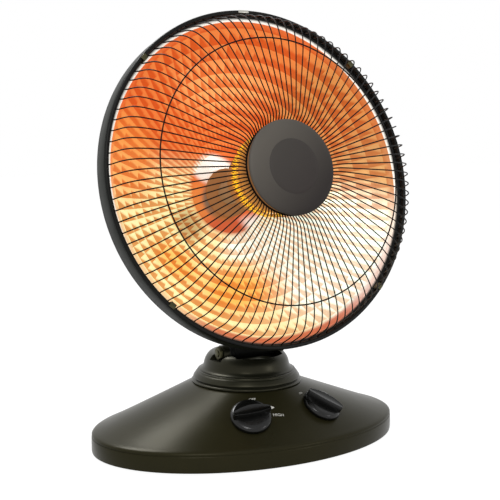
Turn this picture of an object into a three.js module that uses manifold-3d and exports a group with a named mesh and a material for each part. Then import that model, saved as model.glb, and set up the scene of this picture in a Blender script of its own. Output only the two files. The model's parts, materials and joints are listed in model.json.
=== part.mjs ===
// A dish heater on an oval foot: parabolic reflector behind a wire guard, on a turret that swings and tilts.
// Millimetres, +Z up, origin on the floor under the turret's swing axis, front towards -Y.
import * as THREE from "three";
import { mergeVertices } from "three/addons/utils/BufferGeometryUtils.js";
import Module from "manifold-3d";

const wasm = await Module();
wasm.setup();

// ---------- driving dimensions ----------
const GAP = 0.3; // air between pieces that touch
const RUN = 0.4; // radial air round what turns or slides

// Oval base
const baseHalfWidth = 186.4;
const baseHalfDepth = 124.4;
const skirtTop = 21.6;
const skirtBottom = 2;
const baseWall = 2.6;
const slopeTopRadius = 63.4;
const slopeTopHeight = 68.4;
const footHeight = 2.7;
const footRadius = 12;
const footInsetX = 58.4; // of the feet and screws from the base's edge, along each half axis
const footInsetY = 68.4;
const footSpreadX = baseHalfWidth - footInsetX;
const footSpreadY = baseHalfDepth - footInsetY;
const plateThickness = 2.4;
const screwInsetX = 91.4;
const screwInsetY = 46.4;
const baseScrewX = baseHalfWidth - screwInsetX;
const baseScrewY = baseHalfDepth - screwInsetY;
const screwRadius = 1.8;

// Neck collar and turret
const collarWaist = 56.2;
const collarTop = 82.4;
const turretRadius = 49.4;
const turretHeight = 21.2;
const turretFlare = 5; // of its foot, over the collar
const turretWall = 3.2;
const turretHollow = 6.4; // depth of the hollow under the saddle
const spindleRadius = 9;
const spindleBore = 5.5;
const bushWall = 4.5;
const spindleSeat = 6.2; // of the spindle's top in the turret
const saddleHalfWidth = 30.4;
const saddleRear = 24; // behind the tilt bolt
const saddleRadius = 43; // of its round front edge
const saddleFloor = 2.6;
const earThickness = 7.6;
const earRadius = 9;
const pivotY = -8;
const pivotAboveTurret = 1.2;
const tiltBoltRadius = 4;
const tiltHeadRadius = 7;
const tiltNutRadius = 7.8;
const tiltWasherThickness = 1.2;

// Swing drive: a crank pin in a slotted lever
const crankDistance = 40;
const crankThrow = 23;
const crankPinRadius = 3;
const leverSlotAir = 1.6;
const leverHeight = 52;
const leverThickness = 3;
const motorRadius = 24;

// Knobs on the front slope
const heatKnobX = -42;
const swingKnobX = 50;
const knobHeight = 48.2; // of the knobs' centres on the slope
const knobRadius = 22.6;
const knobDiscHeight = 7;
const knobBarHeight = 9;
const knobBarWidth = 13.5;
const knobShaftRadius = 3;
const switchHalf = 13;
const switchDepth = 26;
const heatBarTurn = THREE.MathUtils.degToRad(10);
const swingBarTurn = THREE.MathUtils.degToRad(-58);

// Cord gland on the rear slope
const glandX = 60;
const glandHeight = 34.7;
const glandRadius = 6.6;
const cordRadius = 3.8;

// Head: everything is measured from the centre of the rim's front plane, along the dish axis
const headTilt = THREE.MathUtils.degToRad(14);
const rimCentreY = -44;
const rimCentreZ = 305.3;
const rimRadius = 190;
const rimDepth = 21;
const rimLip = 4.8;
const sheet = 1.6;
const reflectorInset = 9; // of the reflector's edge inside the rim
const reflectorRadius = rimRadius - reflectorInset;
const reflectorVertex = -95;
const reflectorEdge = -6.93;
const reflectorWall = 1;
const housingInset = 6; // of the housing's edge inside the rim
const housingRadius = rimRadius - housingInset;
const housingVertex = -112;
const housingEdge = -24;
const rearHoleRadius = 30;
const ventCount = 6;
const ventInner = 42;
const ventOuter = 68;
const ventWidth = 6;
const cutoutSpot = 95; // radius at which the overheat cut-out sits

// Bracket from the tilt bolt up to a pad under the dish
const padThickness = 5;
const padHalfWidth = 32;
const padHigh = 90; // distances below the dish axis
const padLow = 154;
const armRise = 94;
const armReach = 34;
const armHalfWidth = 25;
const screwHeadPocket = 5;

// Guard
const wireCount = 96;
const wireSize = 1.8;
const guardShoulder = 161;
const guardShoulderHeight = 42;
const guardBend = 63;
const guardBendHeight = 55.6;
const supportRingRadius = 144.5;
const clipWidth = 7;

// Hub cap and heating element
const capRadius = 52.1;
const capDiscRadius = 29.9;
const capFront = 58.8;
const coneRearRadius = 35.3;
const coneFrontRadius = 47.5;
const coneRear = -26;
const coneFront = 43.4;
const coneWall = 4;
const coilStart = -2;
const coilEnd = 25;
const coilTurns = 4;
const coilWire = 4;
const stemRadius = 14;
const socketRadius = 21;
const socketFlange = 29;
const socketDepth = 7;

const ROUND = 42; // facets of the large rings
const MID = 24;
const SMALL = 10;

// ---------- materials ----------
const paint = (color, roughness, metalness) =>
  new THREE.MeshStandardMaterial({ color, roughness, metalness });
const material = {
  basePlastic: paint(0x34322a, 0.45, 0),
  knobPlastic: paint(0x24241f, 0.35, 0),
  darkPlastic: paint(0x1c1c1a, 0.6, 0),
  housing: paint(0x2c2c24, 0.4, 0.3),
  wire: paint(0x141310, 0.35, 0.6),
  reflector: paint(0xf0a050, 0.15, 1),
  cap: paint(0x56544f, 0.5, 0.1),
  ceramic: paint(0xc9a070, 0.7, 0),
  coil: paint(0xffc830, 0.5, 0),
  steel: paint(0xb8b8b8, 0.3, 1),
  brass: paint(0xb99a45, 0.3, 1),
  rubber: paint(0x181818, 0.9, 0),
};

// ---------- shapes ----------
function toSolid(geometry) {
  const bare = geometry.clone();
  bare.deleteAttribute("normal");
  bare.deleteAttribute("uv");
  const merged = mergeVertices(bare, 1e-4);
  const mesh = new wasm.Mesh({
    numProp: 3,
    vertProperties: merged.attributes.position.array,
    triVerts: new Uint32Array(merged.index.array),
  });
  return new wasm.Manifold(mesh);
}

function toGeometry(solid) {
  const mesh = solid.getMesh();
  const geometry = new THREE.BufferGeometry();
  geometry.setAttribute("position", new THREE.BufferAttribute(mesh.vertProperties, 3));
  geometry.setIndex(new THREE.BufferAttribute(mesh.triVerts, 1));
  geometry.computeVertexNormals();
  return geometry;
}

const join = (...geometries) => toGeometry(geometries.map(toSolid).reduce((a, b) => a.add(b)));
const cut = (geometry, ...tools) =>
  toGeometry(tools.reduce((a, b) => a.subtract(toSolid(b)), toSolid(geometry)));
const overlap = (a, b) => toGeometry(toSolid(a).intersect(toSolid(b)));

// Turns a profile of [radius, height] about +Z. It starts and ends on the axis.
function turned(profile, facets = MID) {
  const points = profile.map(([radius, height]) => new THREE.Vector2(radius, height));
  return new THREE.LatheGeometry(points, facets).rotateX(Math.PI / 2);
}

// The same for a ring, whose profile is a closed loop.
const ring = (profile, facets = MID) => turned([...profile, profile[0]], facets);

const rod = (radius, low, high, facets = SMALL) =>
  turned([[0, low], [radius, low], [radius, high], [0, high]], facets);

const sleeve = (inner, outer, low, high, facets = SMALL) =>
  ring([[inner, low], [outer, low], [outer, high], [inner, high]], facets);

// A turned form with oval sections: each row is [half width, half depth, height].
function oval(rows, facets = ROUND) {
  const geometry = turned(rows.map(([a, , z]) => [a, z]), facets);
  const position = geometry.attributes.position;
  for (let i = 0; i < position.count; i++) {
    const [a, b] = rows[i % rows.length];
    position.setY(i, position.getY(i) * (a ? b / a : 1));
  }
  return geometry;
}

function block(low, high) {
  const [x0, y0, z0] = low;
  const [x1, y1, z1] = high;
  return new THREE.BoxGeometry(x1 - x0, y1 - y0, z1 - z0)
    .translate((x0 + x1) / 2, (y0 + y1) / 2, (z0 + z1) / 2);
}

// A flat outline, drawn in XY, raised from low to high.
function raised(shape, low, high, curveSegments = 6) {
  return new THREE.ExtrudeGeometry(shape, { depth: high - low, bevelEnabled: false, curveSegments })
    .translate(0, 0, low);
}

const alongX = (geometry) => geometry.rotateY(Math.PI / 2);

// ---------- assembly ----------
const heater = new THREE.Group();
const head = new THREE.Group();
head.position.set(0, rimCentreY, rimCentreZ);
head.rotation.x = Math.PI / 2 - headTilt;
head.updateMatrix();
heater.add(head);

function piece(name, geometry, finish, parent = heater) {
  const mesh = new THREE.Mesh(geometry, finish);
  mesh.name = name;
  parent.add(mesh);
  return mesh;
}

// ---------- base shell's slope ----------
const slopeRun = slopeTopHeight - skirtTop;
const slopeHalfWidth = (z) =>
  THREE.MathUtils.mapLinear(z, skirtTop, slopeTopHeight, baseHalfWidth, slopeTopRadius);
const slopeHalfDepth = (z) =>
  THREE.MathUtils.mapLinear(z, skirtTop, slopeTopHeight, baseHalfDepth, slopeTopRadius);

// A frame on the slope: its Z points out of the surface, its X lies level and its Y climbs.
function slopeFrame(x, z, side) {
  const a = slopeHalfWidth(z);
  const b = slopeHalfDepth(z);
  const y = side * b * Math.sqrt(1 - (x / a) ** 2);
  const narrowingX = (slopeTopRadius - baseHalfWidth) / slopeRun;
  const narrowingY = (slopeTopRadius - baseHalfDepth) / slopeRun;
  const lean = -(x ** 2 / a ** 3) * narrowingX - (y ** 2 / b ** 3) * narrowingY;
  const out = new THREE.Vector3(x / a ** 2, y / b ** 2, lean).normalize();
  const level = new THREE.Vector3(-out.y, out.x, 0).normalize();
  const climb = new THREE.Vector3().crossVectors(out, level);
  return new THREE.Matrix4().makeBasis(level, climb, out).setPosition(x, y, z);
}

const heatFrame = slopeFrame(heatKnobX, knobHeight, -1);
const swingFrame = slopeFrame(swingKnobX, knobHeight, -1);
const glandFrame = slopeFrame(glandX, glandHeight, 1);
const onto = (geometry, frame) => geometry.applyMatrix4(frame);

const plateBottom = footHeight + GAP;
const plateTop = plateBottom + plateThickness;
const slopeTopPlate = slopeTopHeight + 0.4;
const bushRadius = spindleRadius + RUN + bushWall;

const outerRows = [
  [0, 0, skirtBottom],
  [baseHalfWidth - 0.4, baseHalfDepth - 0.4, skirtBottom],
  [baseHalfWidth, baseHalfDepth, skirtTop - 1.6],
  [baseHalfWidth - 1.2, baseHalfDepth - 1.2, skirtTop + 0.6],
  [slopeTopRadius, slopeTopRadius, slopeTopHeight],
  [slopeTopRadius - 1.4, slopeTopRadius - 1.4, slopeTopPlate],
  [0, 0, slopeTopPlate],
];
const innerRows = [
  [0, 0, skirtBottom - 5],
  [baseHalfWidth - baseWall, baseHalfDepth - baseWall, skirtBottom - 5],
  [baseHalfWidth - baseWall, baseHalfDepth - baseWall, skirtTop - 3],
  [slopeTopRadius - baseWall, slopeTopRadius - baseWall, slopeTopPlate - baseWall],
  [0, 0, slopeTopPlate - baseWall],
];

const corners = [[1, -1, "front_right"], [-1, -1, "front_left"], [1, 1, "rear_right"], [-1, 1, "rear_left"]];
const bossRadius = 5;
const bossTool = (x, y) => rod(bossRadius, plateTop + GAP, slopeTopPlate).translate(x, y, 0);

function baseShell() {
  const outer = oval(outerRows);
  let shell = cut(outer, oval(innerRows));
  for (const [sx, sy] of corners) {
    const boss = overlap(outer, bossTool(sx * baseScrewX, sy * baseScrewY));
    shell = join(shell, boss);
  }
  const pilots = corners.map(([sx, sy]) =>
    rod(screwRadius + 0.2, 0, plateTop + 12).translate(sx * baseScrewX, sy * baseScrewY, 0));
  const shaftHoles = [heatFrame, swingFrame].map((frame) =>
    onto(rod(knobShaftRadius + RUN + 1, -12, 12), frame));
  const glandHole = onto(rod(glandRadius + 2 * GAP, -12, 12), glandFrame);
  const bushHole = rod(bushRadius + GAP, slopeTopHeight - 20, slopeTopHeight + 20, MID);
  return cut(shell, ...pilots, ...shaftHoles, glandHole, bushHole);
}
piece("base_shell", baseShell(), material.basePlastic);

// ---------- base plate, feet and screws ----------
const tipX = -72;
const tipY = 28;
const plungerRadius = 5;

function basePlate() {
  const inset = baseWall + 2 * GAP;
  const plate = oval([
    [0, 0, plateBottom],
    [baseHalfWidth - inset, baseHalfDepth - inset, plateBottom],
    [baseHalfWidth - inset, baseHalfDepth - inset, plateTop],
    [0, 0, plateTop],
  ]);
  const screwHoles = corners.map(([sx, sy]) =>
    rod(screwRadius + GAP, 0, 12).translate(sx * baseScrewX, sy * baseScrewY, 0));
  const plungerHole = rod(plungerRadius + RUN, 0, 12).translate(tipX, tipY, 0);
  return cut(plate, ...screwHoles, plungerHole);
}
piece("base_plate", basePlate(), material.darkPlastic);

for (const [sx, sy, place] of corners) {
  const foot = turned([
    [0, 0], [footRadius - 1, 0], [footRadius, 1], [footRadius, footHeight], [0, footHeight],
  ], SMALL);
  piece("foot_" + place, foot.translate(sx * footSpreadX, sy * footSpreadY, 0), material.rubber);
  const screwSeat = plateBottom - GAP;
  const screw = turned([
    [0, screwSeat - 1.6], [2 * screwRadius, screwSeat - 1.6], [2 * screwRadius, screwSeat],
    [screwRadius, screwSeat], [screwRadius, plateTop + 10], [0, plateTop + 11],
  ], SMALL);
  piece("base_screw_" + place, screw.translate(sx * baseScrewX, sy * baseScrewY, 0), material.steel);
}

// ---------- tip-over switch ----------
const plungerStemRadius = 2.4;
const plungerCollar = plateTop + 5;
const tipSwitchBottom = plungerCollar + 15;
const plunger = turned([
  [0, 0], [plungerRadius - 1, 0], [plungerRadius, 1], [plungerRadius, plungerCollar],
  [plungerStemRadius, plungerCollar], [plungerStemRadius, tipSwitchBottom + 6], [0, tipSwitchBottom + 6],
], SMALL);
piece("tip_plunger", plunger.translate(tipX, tipY, 0), material.darkPlastic);

function tipSwitch() {
  const body = block([tipX - 12, tipY - 8, tipSwitchBottom], [tipX + 12, tipY + 8, tipSwitchBottom + 16]);
  const legs = [-1, 1].map((side) => block(
    [tipX + side * 13.5 - 1.5, tipY - 8, plateTop + GAP],
    [tipX + side * 13.5 + 1.5, tipY + 8, tipSwitchBottom + 8],
  ));
  const stemHole = rod(plungerStemRadius + RUN, tipSwitchBottom - 2, tipSwitchBottom + 9)
    .translate(tipX, tipY, 0);
  return cut(join(body, ...legs), stemHole);
}
piece("tip_switch", tipSwitch(), material.darkPlastic);

// ---------- wound wire ----------
// A tapering helix about +Z whose two ends run straight on for one wire diameter.
class Winding extends THREE.Curve {
  constructor(turns, lowRadius, highRadius, low, high, tail) {
    super();
    Object.assign(this, { turns, lowRadius, highRadius, low, high, tail });
  }
  onHelix(share) {
    const angle = share * this.turns * 2 * Math.PI;
    const radius = THREE.MathUtils.lerp(this.lowRadius, this.highRadius, share);
    const height = THREE.MathUtils.lerp(this.low, this.high, share);
    return new THREE.Vector3(radius * Math.cos(angle), radius * Math.sin(angle), height);
  }
  getPoint(t, target = new THREE.Vector3()) {
    const length = 2 * Math.PI * this.turns * 0.5 * (this.lowRadius + this.highRadius);
    const share = t * (1 + 2 * this.tail / length) - this.tail / length;
    const inside = THREE.MathUtils.clamp(share, 0, 1);
    const nudge = inside < 0.5 ? 1e-4 : -1e-4;
    const along = this.onHelix(inside + nudge).sub(this.onHelix(inside))
      .multiplyScalar(Math.sign(nudge)).normalize();
    return target.copy(this.onHelix(inside)).addScaledVector(along, (share - inside) * length);
  }
}

function woundWire(name, curve, wireDiameter, stepsPerTurn, sides) {
  const section = new THREE.Shape(Array.from({ length: sides }, (_, i) => {
    const angle = (i / sides) * 2 * Math.PI;
    return new THREE.Vector2(Math.cos(angle), Math.sin(angle)).multiplyScalar(wireDiameter / 2);
  }));
  const steps = Math.round(curve.turns * stepsPerTurn) + 2;
  const points = curve.getPoints(steps);
  const apart = Math.round(stepsPerTurn / 2);
  let least = Infinity;
  points.forEach((p, i) => points.slice(i + apart).forEach((q) => {
    least = Math.min(least, p.distanceTo(q) - wireDiameter);
  }));
  console.log(name + ": least gap to itself " + least.toFixed(2) + " mm");
  return new THREE.ExtrudeGeometry(section, { steps, extrudePath: curve, bevelEnabled: false });
}

const springWire = 0.9;
const springRadius = plungerStemRadius + RUN + springWire;
const springCurve = new Winding(3, springRadius, springRadius,
  plungerCollar + GAP + springWire / 2, tipSwitchBottom - GAP - springWire / 2, springWire);
const tipSpring = woundWire("tip_spring", springCurve, springWire, 8, 5);
piece("tip_spring", tipSpring.translate(tipX, tipY, 0), material.steel);

// ---------- cord gland and terminal block ----------
function cordGland() {
  const profile = [
    [cordRadius, -9], [glandRadius, -9], [glandRadius, GAP + 0.2], [glandRadius + 3, GAP + 0.2],
    [glandRadius + 3, 3], [glandRadius - 0.2, 4.5], [glandRadius - 1, 10], [cordRadius, 10],
  ];
  return onto(ring(profile, 14), glandFrame);
}
piece("cord_gland", cordGland(), material.rubber);

const terminalX = 80;
const terminalY = 41;
const terminalPitch = 12;
const terminalHalfWidth = 7;
function terminalBlock() {
  const halfLength = 1.5 * terminalPitch;
  const body = block(
    [terminalX - halfLength, terminalY - terminalHalfWidth, plateTop + GAP],
    [terminalX + halfLength, terminalY + terminalHalfWidth, plateTop + terminalPitch],
  );
  const wells = [-1, 0, 1].map((step) => rod(2.6, plateTop + 5, plateTop + 20)
    .translate(terminalX + step * terminalPitch, terminalY, 0));
  return cut(body, ...wells);
}
piece("terminal_block", terminalBlock(), material.ceramic);

// ---------- rotary switches and knobs ----------
function lensShape(length, width) {
  const sag = width / 2;
  const half = length / 2;
  const shape = new THREE.Shape();
  shape.moveTo(-half, -sag * 0.3);
  shape.quadraticCurveTo(0, -sag * 1.6, half, -sag * 0.3);
  shape.lineTo(half, sag * 0.3);
  shape.quadraticCurveTo(0, sag * 1.6, -half, sag * 0.3);
  return shape;
}

function knob(barTurn) {
  const seat = GAP + 0.5;
  const top = seat + knobDiscHeight;
  const disc = turned([
    [0, seat], [knobRadius, seat], [knobRadius, seat + 2], [knobRadius - 1.6, top - 1.4],
    [knobRadius - 4, top], [0, top],
  ]);
  const bar = raised(lensShape(2 * knobRadius - 3, knobBarWidth), seat + 1, top + knobBarHeight)
    .rotateZ(barTurn);
  return cut(join(disc, bar), rod(knobShaftRadius + GAP / 2, -5, top + 2));
}

function rotarySwitch() {
  const body = block([-switchHalf, -switchHalf, -switchDepth], [switchHalf, switchHalf, -baseWall - 3.6]);
  const neck = rod(6.4, -20, -baseWall - 1.6);
  return cut(join(body, neck), rod(knobShaftRadius + RUN, -18, 10));
}

for (const [label, frame, turn] of [["heat", heatFrame, heatBarTurn], ["swing", swingFrame, swingBarTurn]]) {
  piece("knob_" + label, onto(knob(turn), frame), material.knobPlastic);
  piece("shaft_" + label, onto(rod(knobShaftRadius, -17, knobDiscHeight), frame), material.brass);
  piece("switch_" + label, onto(rotarySwitch(), frame), material.darkPlastic);
}

// ---------- neck collar ----------
const collarBottom = slopeTopPlate + GAP;
const collarBore = 44;
piece("neck_collar", ring([
  [collarBore, collarBottom], [slopeTopRadius - 1, collarBottom], [slopeTopRadius - 0.2, collarBottom + 1.4],
  [slopeTopRadius - 3.2, collarBottom + 3.6], [slopeTopRadius - 2, collarBottom + 5.2],
  [slopeTopRadius - 2.6, collarBottom + 8.2], [collarWaist, collarTop], [collarBore, collarTop],
], 28), material.basePlastic);

// ---------- bush, spindle and lever ----------
const bushTop = slopeTopPlate + GAP + 2;
const turretBottom = collarTop + GAP;
const turretTop = turretBottom + turretHeight;
piece("turret_bush", ring([
  [spindleRadius + RUN, leverHeight + leverThickness + 4], [bushRadius, leverHeight + leverThickness + 4],
  [bushRadius, slopeTopPlate + GAP], [bushRadius + 8, slopeTopPlate + GAP], [bushRadius + 8, bushTop],
  [spindleRadius + RUN, bushTop],
], 20), material.brass);

const spindleTop = turretBottom + spindleSeat;
piece("spindle", sleeve(spindleBore, spindleRadius, leverHeight - 9, spindleTop, 20), material.steel);

// A bar with round ends, drawn from (0, start) to (0, end).
function stadium(start, end, radius) {
  const shape = new THREE.Shape();
  shape.moveTo(radius, start);
  shape.absarc(0, end, radius, 0, Math.PI, false);
  shape.absarc(0, start, radius, Math.PI, 2 * Math.PI, false);
  return shape;
}

function swingLever() {
  const slotHalf = crankPinRadius + leverSlotAir;
  const far = crankDistance + crankThrow + 1;
  const bar = raised(stadium(0, far, slotHalf + 5), leverHeight, leverHeight + leverThickness);
  const eye = rod(spindleRadius + 6, leverHeight, leverHeight + leverThickness, 20);
  const slot = raised(
    stadium(crankDistance + 4, far, slotHalf), leverHeight - 5, leverHeight + leverThickness + 5);
  const spindleHole = rod(spindleRadius + GAP / 2, leverHeight - 5, leverHeight + 10, 20);
  return cut(join(bar, eye), slot, spindleHole);
}
piece("swing_lever", swingLever(), material.steel);

const hex = (radius) => new THREE.Shape(Array.from({ length: 6 }, (_, i) =>
  new THREE.Vector2(Math.cos((i * Math.PI) / 3), Math.sin((i * Math.PI) / 3)).multiplyScalar(radius)));
piece("spindle_nut", cut(
  raised(hex(15), leverHeight - GAP - 6, leverHeight - GAP),
  rod(spindleRadius + GAP / 2, leverHeight - 20, leverHeight + 5, 20),
), material.steel);

// ---------- swing motor and crank ----------
const crankTop = leverHeight - 2;
const motorTop = crankTop - 5;
function swingMotor() {
  const body = turned([
    [0, plateTop + GAP], [motorRadius, plateTop + GAP], [motorRadius, motorTop - 2],
    [motorRadius - 2, motorTop], [0, motorTop],
  ], 20);
  const ears = block([-motorRadius - 9, -5, plateTop + GAP], [motorRadius + 9, 5, plateTop + 3]);
  return cut(join(body, ears), rod(2.5 + RUN, motorTop - 12, motorTop + 5)).translate(0, crankDistance, 0);
}
piece("swing_motor", swingMotor(), material.steel);

function crank() {
  const shaft = rod(2.5, motorTop - 11, crankTop);
  const arm = raised(stadium(0, crankThrow, crankPinRadius + 4), motorTop + 1.5, crankTop);
  const pin = rod(crankPinRadius, motorTop + 2, leverHeight + leverThickness + 1.5)
    .translate(0, crankThrow, 0);
  return join(arm, shaft, pin).translate(0, crankDistance, 0);
}
piece("swing_crank", crank(), material.brass);

// ---------- turret ----------
const pivotZ = turretTop + pivotAboveTurret;
const hollowTop = turretBottom + turretHollow;
const saddleBottom = hollowTop + saddleFloor;
const boltHeadThickness = 4;

function turret() {
  const dome = turned([
    [0, turretBottom], [turretRadius + turretFlare, turretBottom], [turretRadius + 1.8, turretBottom + 3.4],
    [turretRadius, turretBottom + 6.6], [turretRadius - 1.4, turretBottom + 12],
    [turretRadius - 3.4, turretBottom + 15.6], [turretRadius - 6.4, turretBottom + 18.8],
    [turretRadius - 10, turretTop - 0.6], [turretRadius - 15, turretTop], [0, turretTop],
  ], 30);
  const hollow = ring([
    [spindleRadius + 8, turretBottom - 2], [turretRadius - turretWall, turretBottom - 2],
    [turretRadius - turretWall, hollowTop], [spindleRadius + 8, hollowTop],
  ]);
  const hub = rod(spindleRadius + 8, bushTop + GAP, turretBottom + 2, MID);
  const saddle = overlap(
    block(
      [-saddleHalfWidth, -saddleRadius, saddleBottom],
      [saddleHalfWidth, pivotY + saddleRear, turretTop + saddleRear],
    ),
    rod(saddleRadius, saddleBottom, turretTop + saddleRear, MID),
  );
  const earOuter = saddleHalfWidth + earThickness;
  const ears = [-1, 1].map((side) => {
    const x0 = Math.min(side * saddleHalfWidth, side * earOuter);
    const leg = block(
      [x0, pivotY - earRadius, turretBottom + 8], [x0 + earThickness, pivotY + earRadius, pivotZ]);
    const eye = alongX(rod(earRadius, x0, x0 + earThickness, 16)).translate(0, pivotY, pivotZ);
    return join(leg, eye);
  });
  const pockets = [-1, 1].map((side) => {
    const x0 = side > 0 ? earOuter : -earOuter - 14;
    return block([x0, pivotY - 9.6, pivotZ - 8.4], [x0 + 14, pivotY + 9.6, turretTop + 20]);
  });
  const bore = alongX(rod(tiltBoltRadius + GAP, -60, 60, 16)).translate(0, pivotY, pivotZ);
  const spindleHole = rod(spindleRadius + GAP / 2, bushTop - 5, spindleTop + GAP, 20);
  const wireWay = rod(spindleBore, spindleTop - 3, turretTop + 5, 20);
  const body = join(cut(join(cut(dome, hollow), hub), saddle), ...ears);
  return cut(body, ...pockets, bore, spindleHole, wireWay);
}
piece("turret", turret(), material.basePlastic);

// ---------- tilt pivot ----------
const barrelHalf = saddleHalfWidth - tiltWasherThickness - 2 * GAP;
const barrelRadius = 9.4;
const earFace = saddleHalfWidth + earThickness;
const atPivot = (geometry) => alongX(geometry).translate(0, pivotY, pivotZ);
const boltEnd = earFace + GAP + boltHeadThickness;
piece("tilt_bolt", atPivot(join(
  rod(tiltBoltRadius, -boltEnd - 1, earFace + GAP + 1, 16),
  rod(tiltHeadRadius, earFace + GAP, boltEnd, 16),
)), material.steel);
piece("tilt_nut", atPivot(cut(
  raised(hex(tiltNutRadius), -boltEnd, -earFace - GAP),
  rod(tiltBoltRadius + GAP / 2, -boltEnd - 5, -earFace + 5, 16),
)), material.steel);
for (const [side, label] of [[-1, "left"], [1, "right"]]) {
  const middle = side * (barrelHalf + GAP + tiltWasherThickness / 2);
  const half = tiltWasherThickness / 2;
  const washer = sleeve(tiltBoltRadius + GAP, barrelRadius - 0.4, middle - half, middle + half, 16);
  piece("tilt_washer_" + label, atPivot(washer), material.rubber);
}

// ---------- rear housing ----------
const paraboloid = (vertex, focal) => (radius) => vertex + radius ** 2 / (4 * focal);
const reflectorFocal = reflectorRadius ** 2 / (4 * (reflectorEdge - reflectorVertex));
const reflectorFace = paraboloid(reflectorVertex, reflectorFocal);
const housingFocal = housingRadius ** 2 / (4 * (housingEdge - housingVertex));
const housingFace = paraboloid(housingVertex, housingFocal);
const housingStops = [rearHoleRadius, 80, 135, housingRadius];
const reflectorStops = [24, 80, 130, reflectorRadius];
// The height at a radius of a form turned from straight stretches between the given stops.
const chorded = (stops, face) => (radius) => {
  const found = stops.findIndex((stop) => stop >= radius);
  const i = found < 1 ? 1 : found;
  return THREE.MathUtils.mapLinear(radius, stops[i - 1], stops[i], face(stops[i - 1]), face(stops[i]));
};
const housingSkin = chorded(housingStops, housingFace);
const reflectorSkin = chorded(reflectorStops, reflectorFace);
const rimInner = rimRadius - sheet;
const shellRadius = rimInner - 0.8;
const flangeFront = reflectorFace(reflectorRadius);
const flangeBack = flangeFront - reflectorWall;
const shellFront = flangeBack - GAP;

function rearHousing() {
  const wall = sheet + 0.6;
  const outside = housingStops.map((radius) => [radius, housingFace(radius)]);
  const widest = shellRadius - sheet - 3;
  const inside = housingStops.map((radius) => [Math.min(radius, widest), housingFace(radius) + wall]);
  const shell = ring([
    ...outside, [shellRadius, housingEdge + 4], [shellRadius, shellFront], [shellRadius - sheet, shellFront],
    [shellRadius - sheet, housingEdge + 5.5], ...inside.reverse(),
  ], ROUND);
  const vents = Array.from({ length: ventCount }, (_, i) => block(
    [ventInner, -ventWidth / 2, housingVertex - 5], [ventOuter, ventWidth / 2, housingVertex + 30],
  ).rotateZ(((i + 0.5) / ventCount) * 2 * Math.PI));
  return cut(shell, ...vents, ...bracketScrewSpots.map(([x, y]) => screwTool(screwRadius + GAP, x, y)));
}

// ---------- head bracket ----------
// Screws run square to the housing where they enter it, under the dish.
const screwSpotX = padHalfWidth - 8;
const bracketScrewSpots = [padLow - 12, padHigh + 14].flatMap((below) =>
  [[-screwSpotX, -below], [screwSpotX, -below]]);

// A frame on the back of a turned skin: its Z points out of the back.
function backFrame(skin, x, y) {
  const radius = Math.hypot(x, y);
  const slope = skin(radius + 0.5) - skin(radius - 0.5);
  const out = new THREE.Vector3((slope * x) / radius, (slope * y) / radius, -1).normalize();
  const across = new THREE.Vector3(1, 0, 0).addScaledVector(out, -out.x).normalize();
  const along = new THREE.Vector3().crossVectors(out, across);
  return new THREE.Matrix4().makeBasis(across, along, out).setPosition(x, y, skin(radius));
}
const housingFrame = (x, y) => backFrame(housingSkin, x, y);
const screwTool = (radius, x, y) => onto(rod(radius, -9, 12), housingFrame(x, y));

// The housing's outer form as a filled body, moved back along the dish axis by the given amount.
function housingBody(back) {
  const outside = housingStops.slice(1).map((radius) => [radius, housingFace(radius) - back]);
  return turned([
    [0, housingFace(rearHoleRadius) - back], [rearHoleRadius, housingFace(rearHoleRadius) - back],
    ...outside,
    [shellRadius + back, housingEdge + 4], [shellRadius + back, 60], [0, 60],
  ], ROUND);
}

function headBracket() {
  const toWorld = (geometry) => onto(geometry, head.matrix);
  const keepOut = toWorld(housingBody(1.5 * GAP));
  const padBody = overlap(
    housingBody(1.5 * GAP + padThickness),
    block([-padHalfWidth, -padLow, housingVertex - 20], [padHalfWidth, -padHigh, 20]),
  );
  const side = new THREE.Shape();
  side.moveTo(pivotY - barrelRadius, pivotZ);
  side.lineTo(pivotY - barrelRadius - 1, pivotZ + 0.15 * armRise);
  side.quadraticCurveTo(
    pivotY - barrelRadius - 3, pivotZ + 0.36 * armRise, pivotY - 0.65 * armReach, pivotZ + 0.6 * armRise);
  side.lineTo(pivotY + armReach, pivotZ + armRise);
  side.quadraticCurveTo(
    pivotY + 0.6 * armReach, pivotZ + 0.43 * armRise, pivotY + barrelRadius, pivotZ);
  side.lineTo(pivotY, pivotZ - 2);
  // The side view is drawn as (y, z) and raised along X.
  const arm = raised(side, -armHalfWidth, armHalfWidth).applyMatrix4(new THREE.Matrix4().makeBasis(
    new THREE.Vector3(0, 1, 0), new THREE.Vector3(0, 0, 1), new THREE.Vector3(1, 0, 0)));
  const barrel = atPivot(rod(barrelRadius, -barrelHalf, barrelHalf, 16));
  const bore = atPivot(rod(tiltBoltRadius + GAP, -60, 60, 16));
  const screws = bracketScrewSpots.map(([x, y]) => toWorld(screwTool(screwRadius + GAP, x, y)));
  const heads = bracketScrewSpots.map(([x, y]) =>
    toWorld(onto(rod(screwHeadPocket, 1.5 * GAP + padThickness, 6 * padThickness), housingFrame(x, y))));
  return cut(join(arm, barrel, toWorld(padBody)), keepOut, bore, ...screws, ...heads);
}
piece("head_bracket", headBracket(), material.darkPlastic);

bracketScrewSpots.forEach(([x, y], i) => {
  const seat = 1.5 * GAP + padThickness + GAP;
  const screw = turned([
    [0, -6], [screwRadius, -6], [screwRadius, seat], [3.8, seat], [3.8, seat + 1.2], [2.6, seat + 2.2],
    [0, seat + 2.2],
  ], SMALL);
  piece("bracket_screw_" + (i + 1), onto(screw, housingFrame(x, y)), material.steel, head);
});

piece("rear_housing", rearHousing(), material.housing, head);

// ---------- reflector ----------
const reflectorFront = reflectorStops.map((radius) => [radius, reflectorFace(radius)]);
const reflectorBack = reflectorStops.map((radius) => [radius, reflectorFace(radius) - reflectorWall]);
piece("reflector", ring([
  ...reflectorBack, [rimInner - 1, flangeBack], [rimInner - 1, flangeFront], ...reflectorFront.reverse(),
], ROUND), material.reflector, head);

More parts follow.
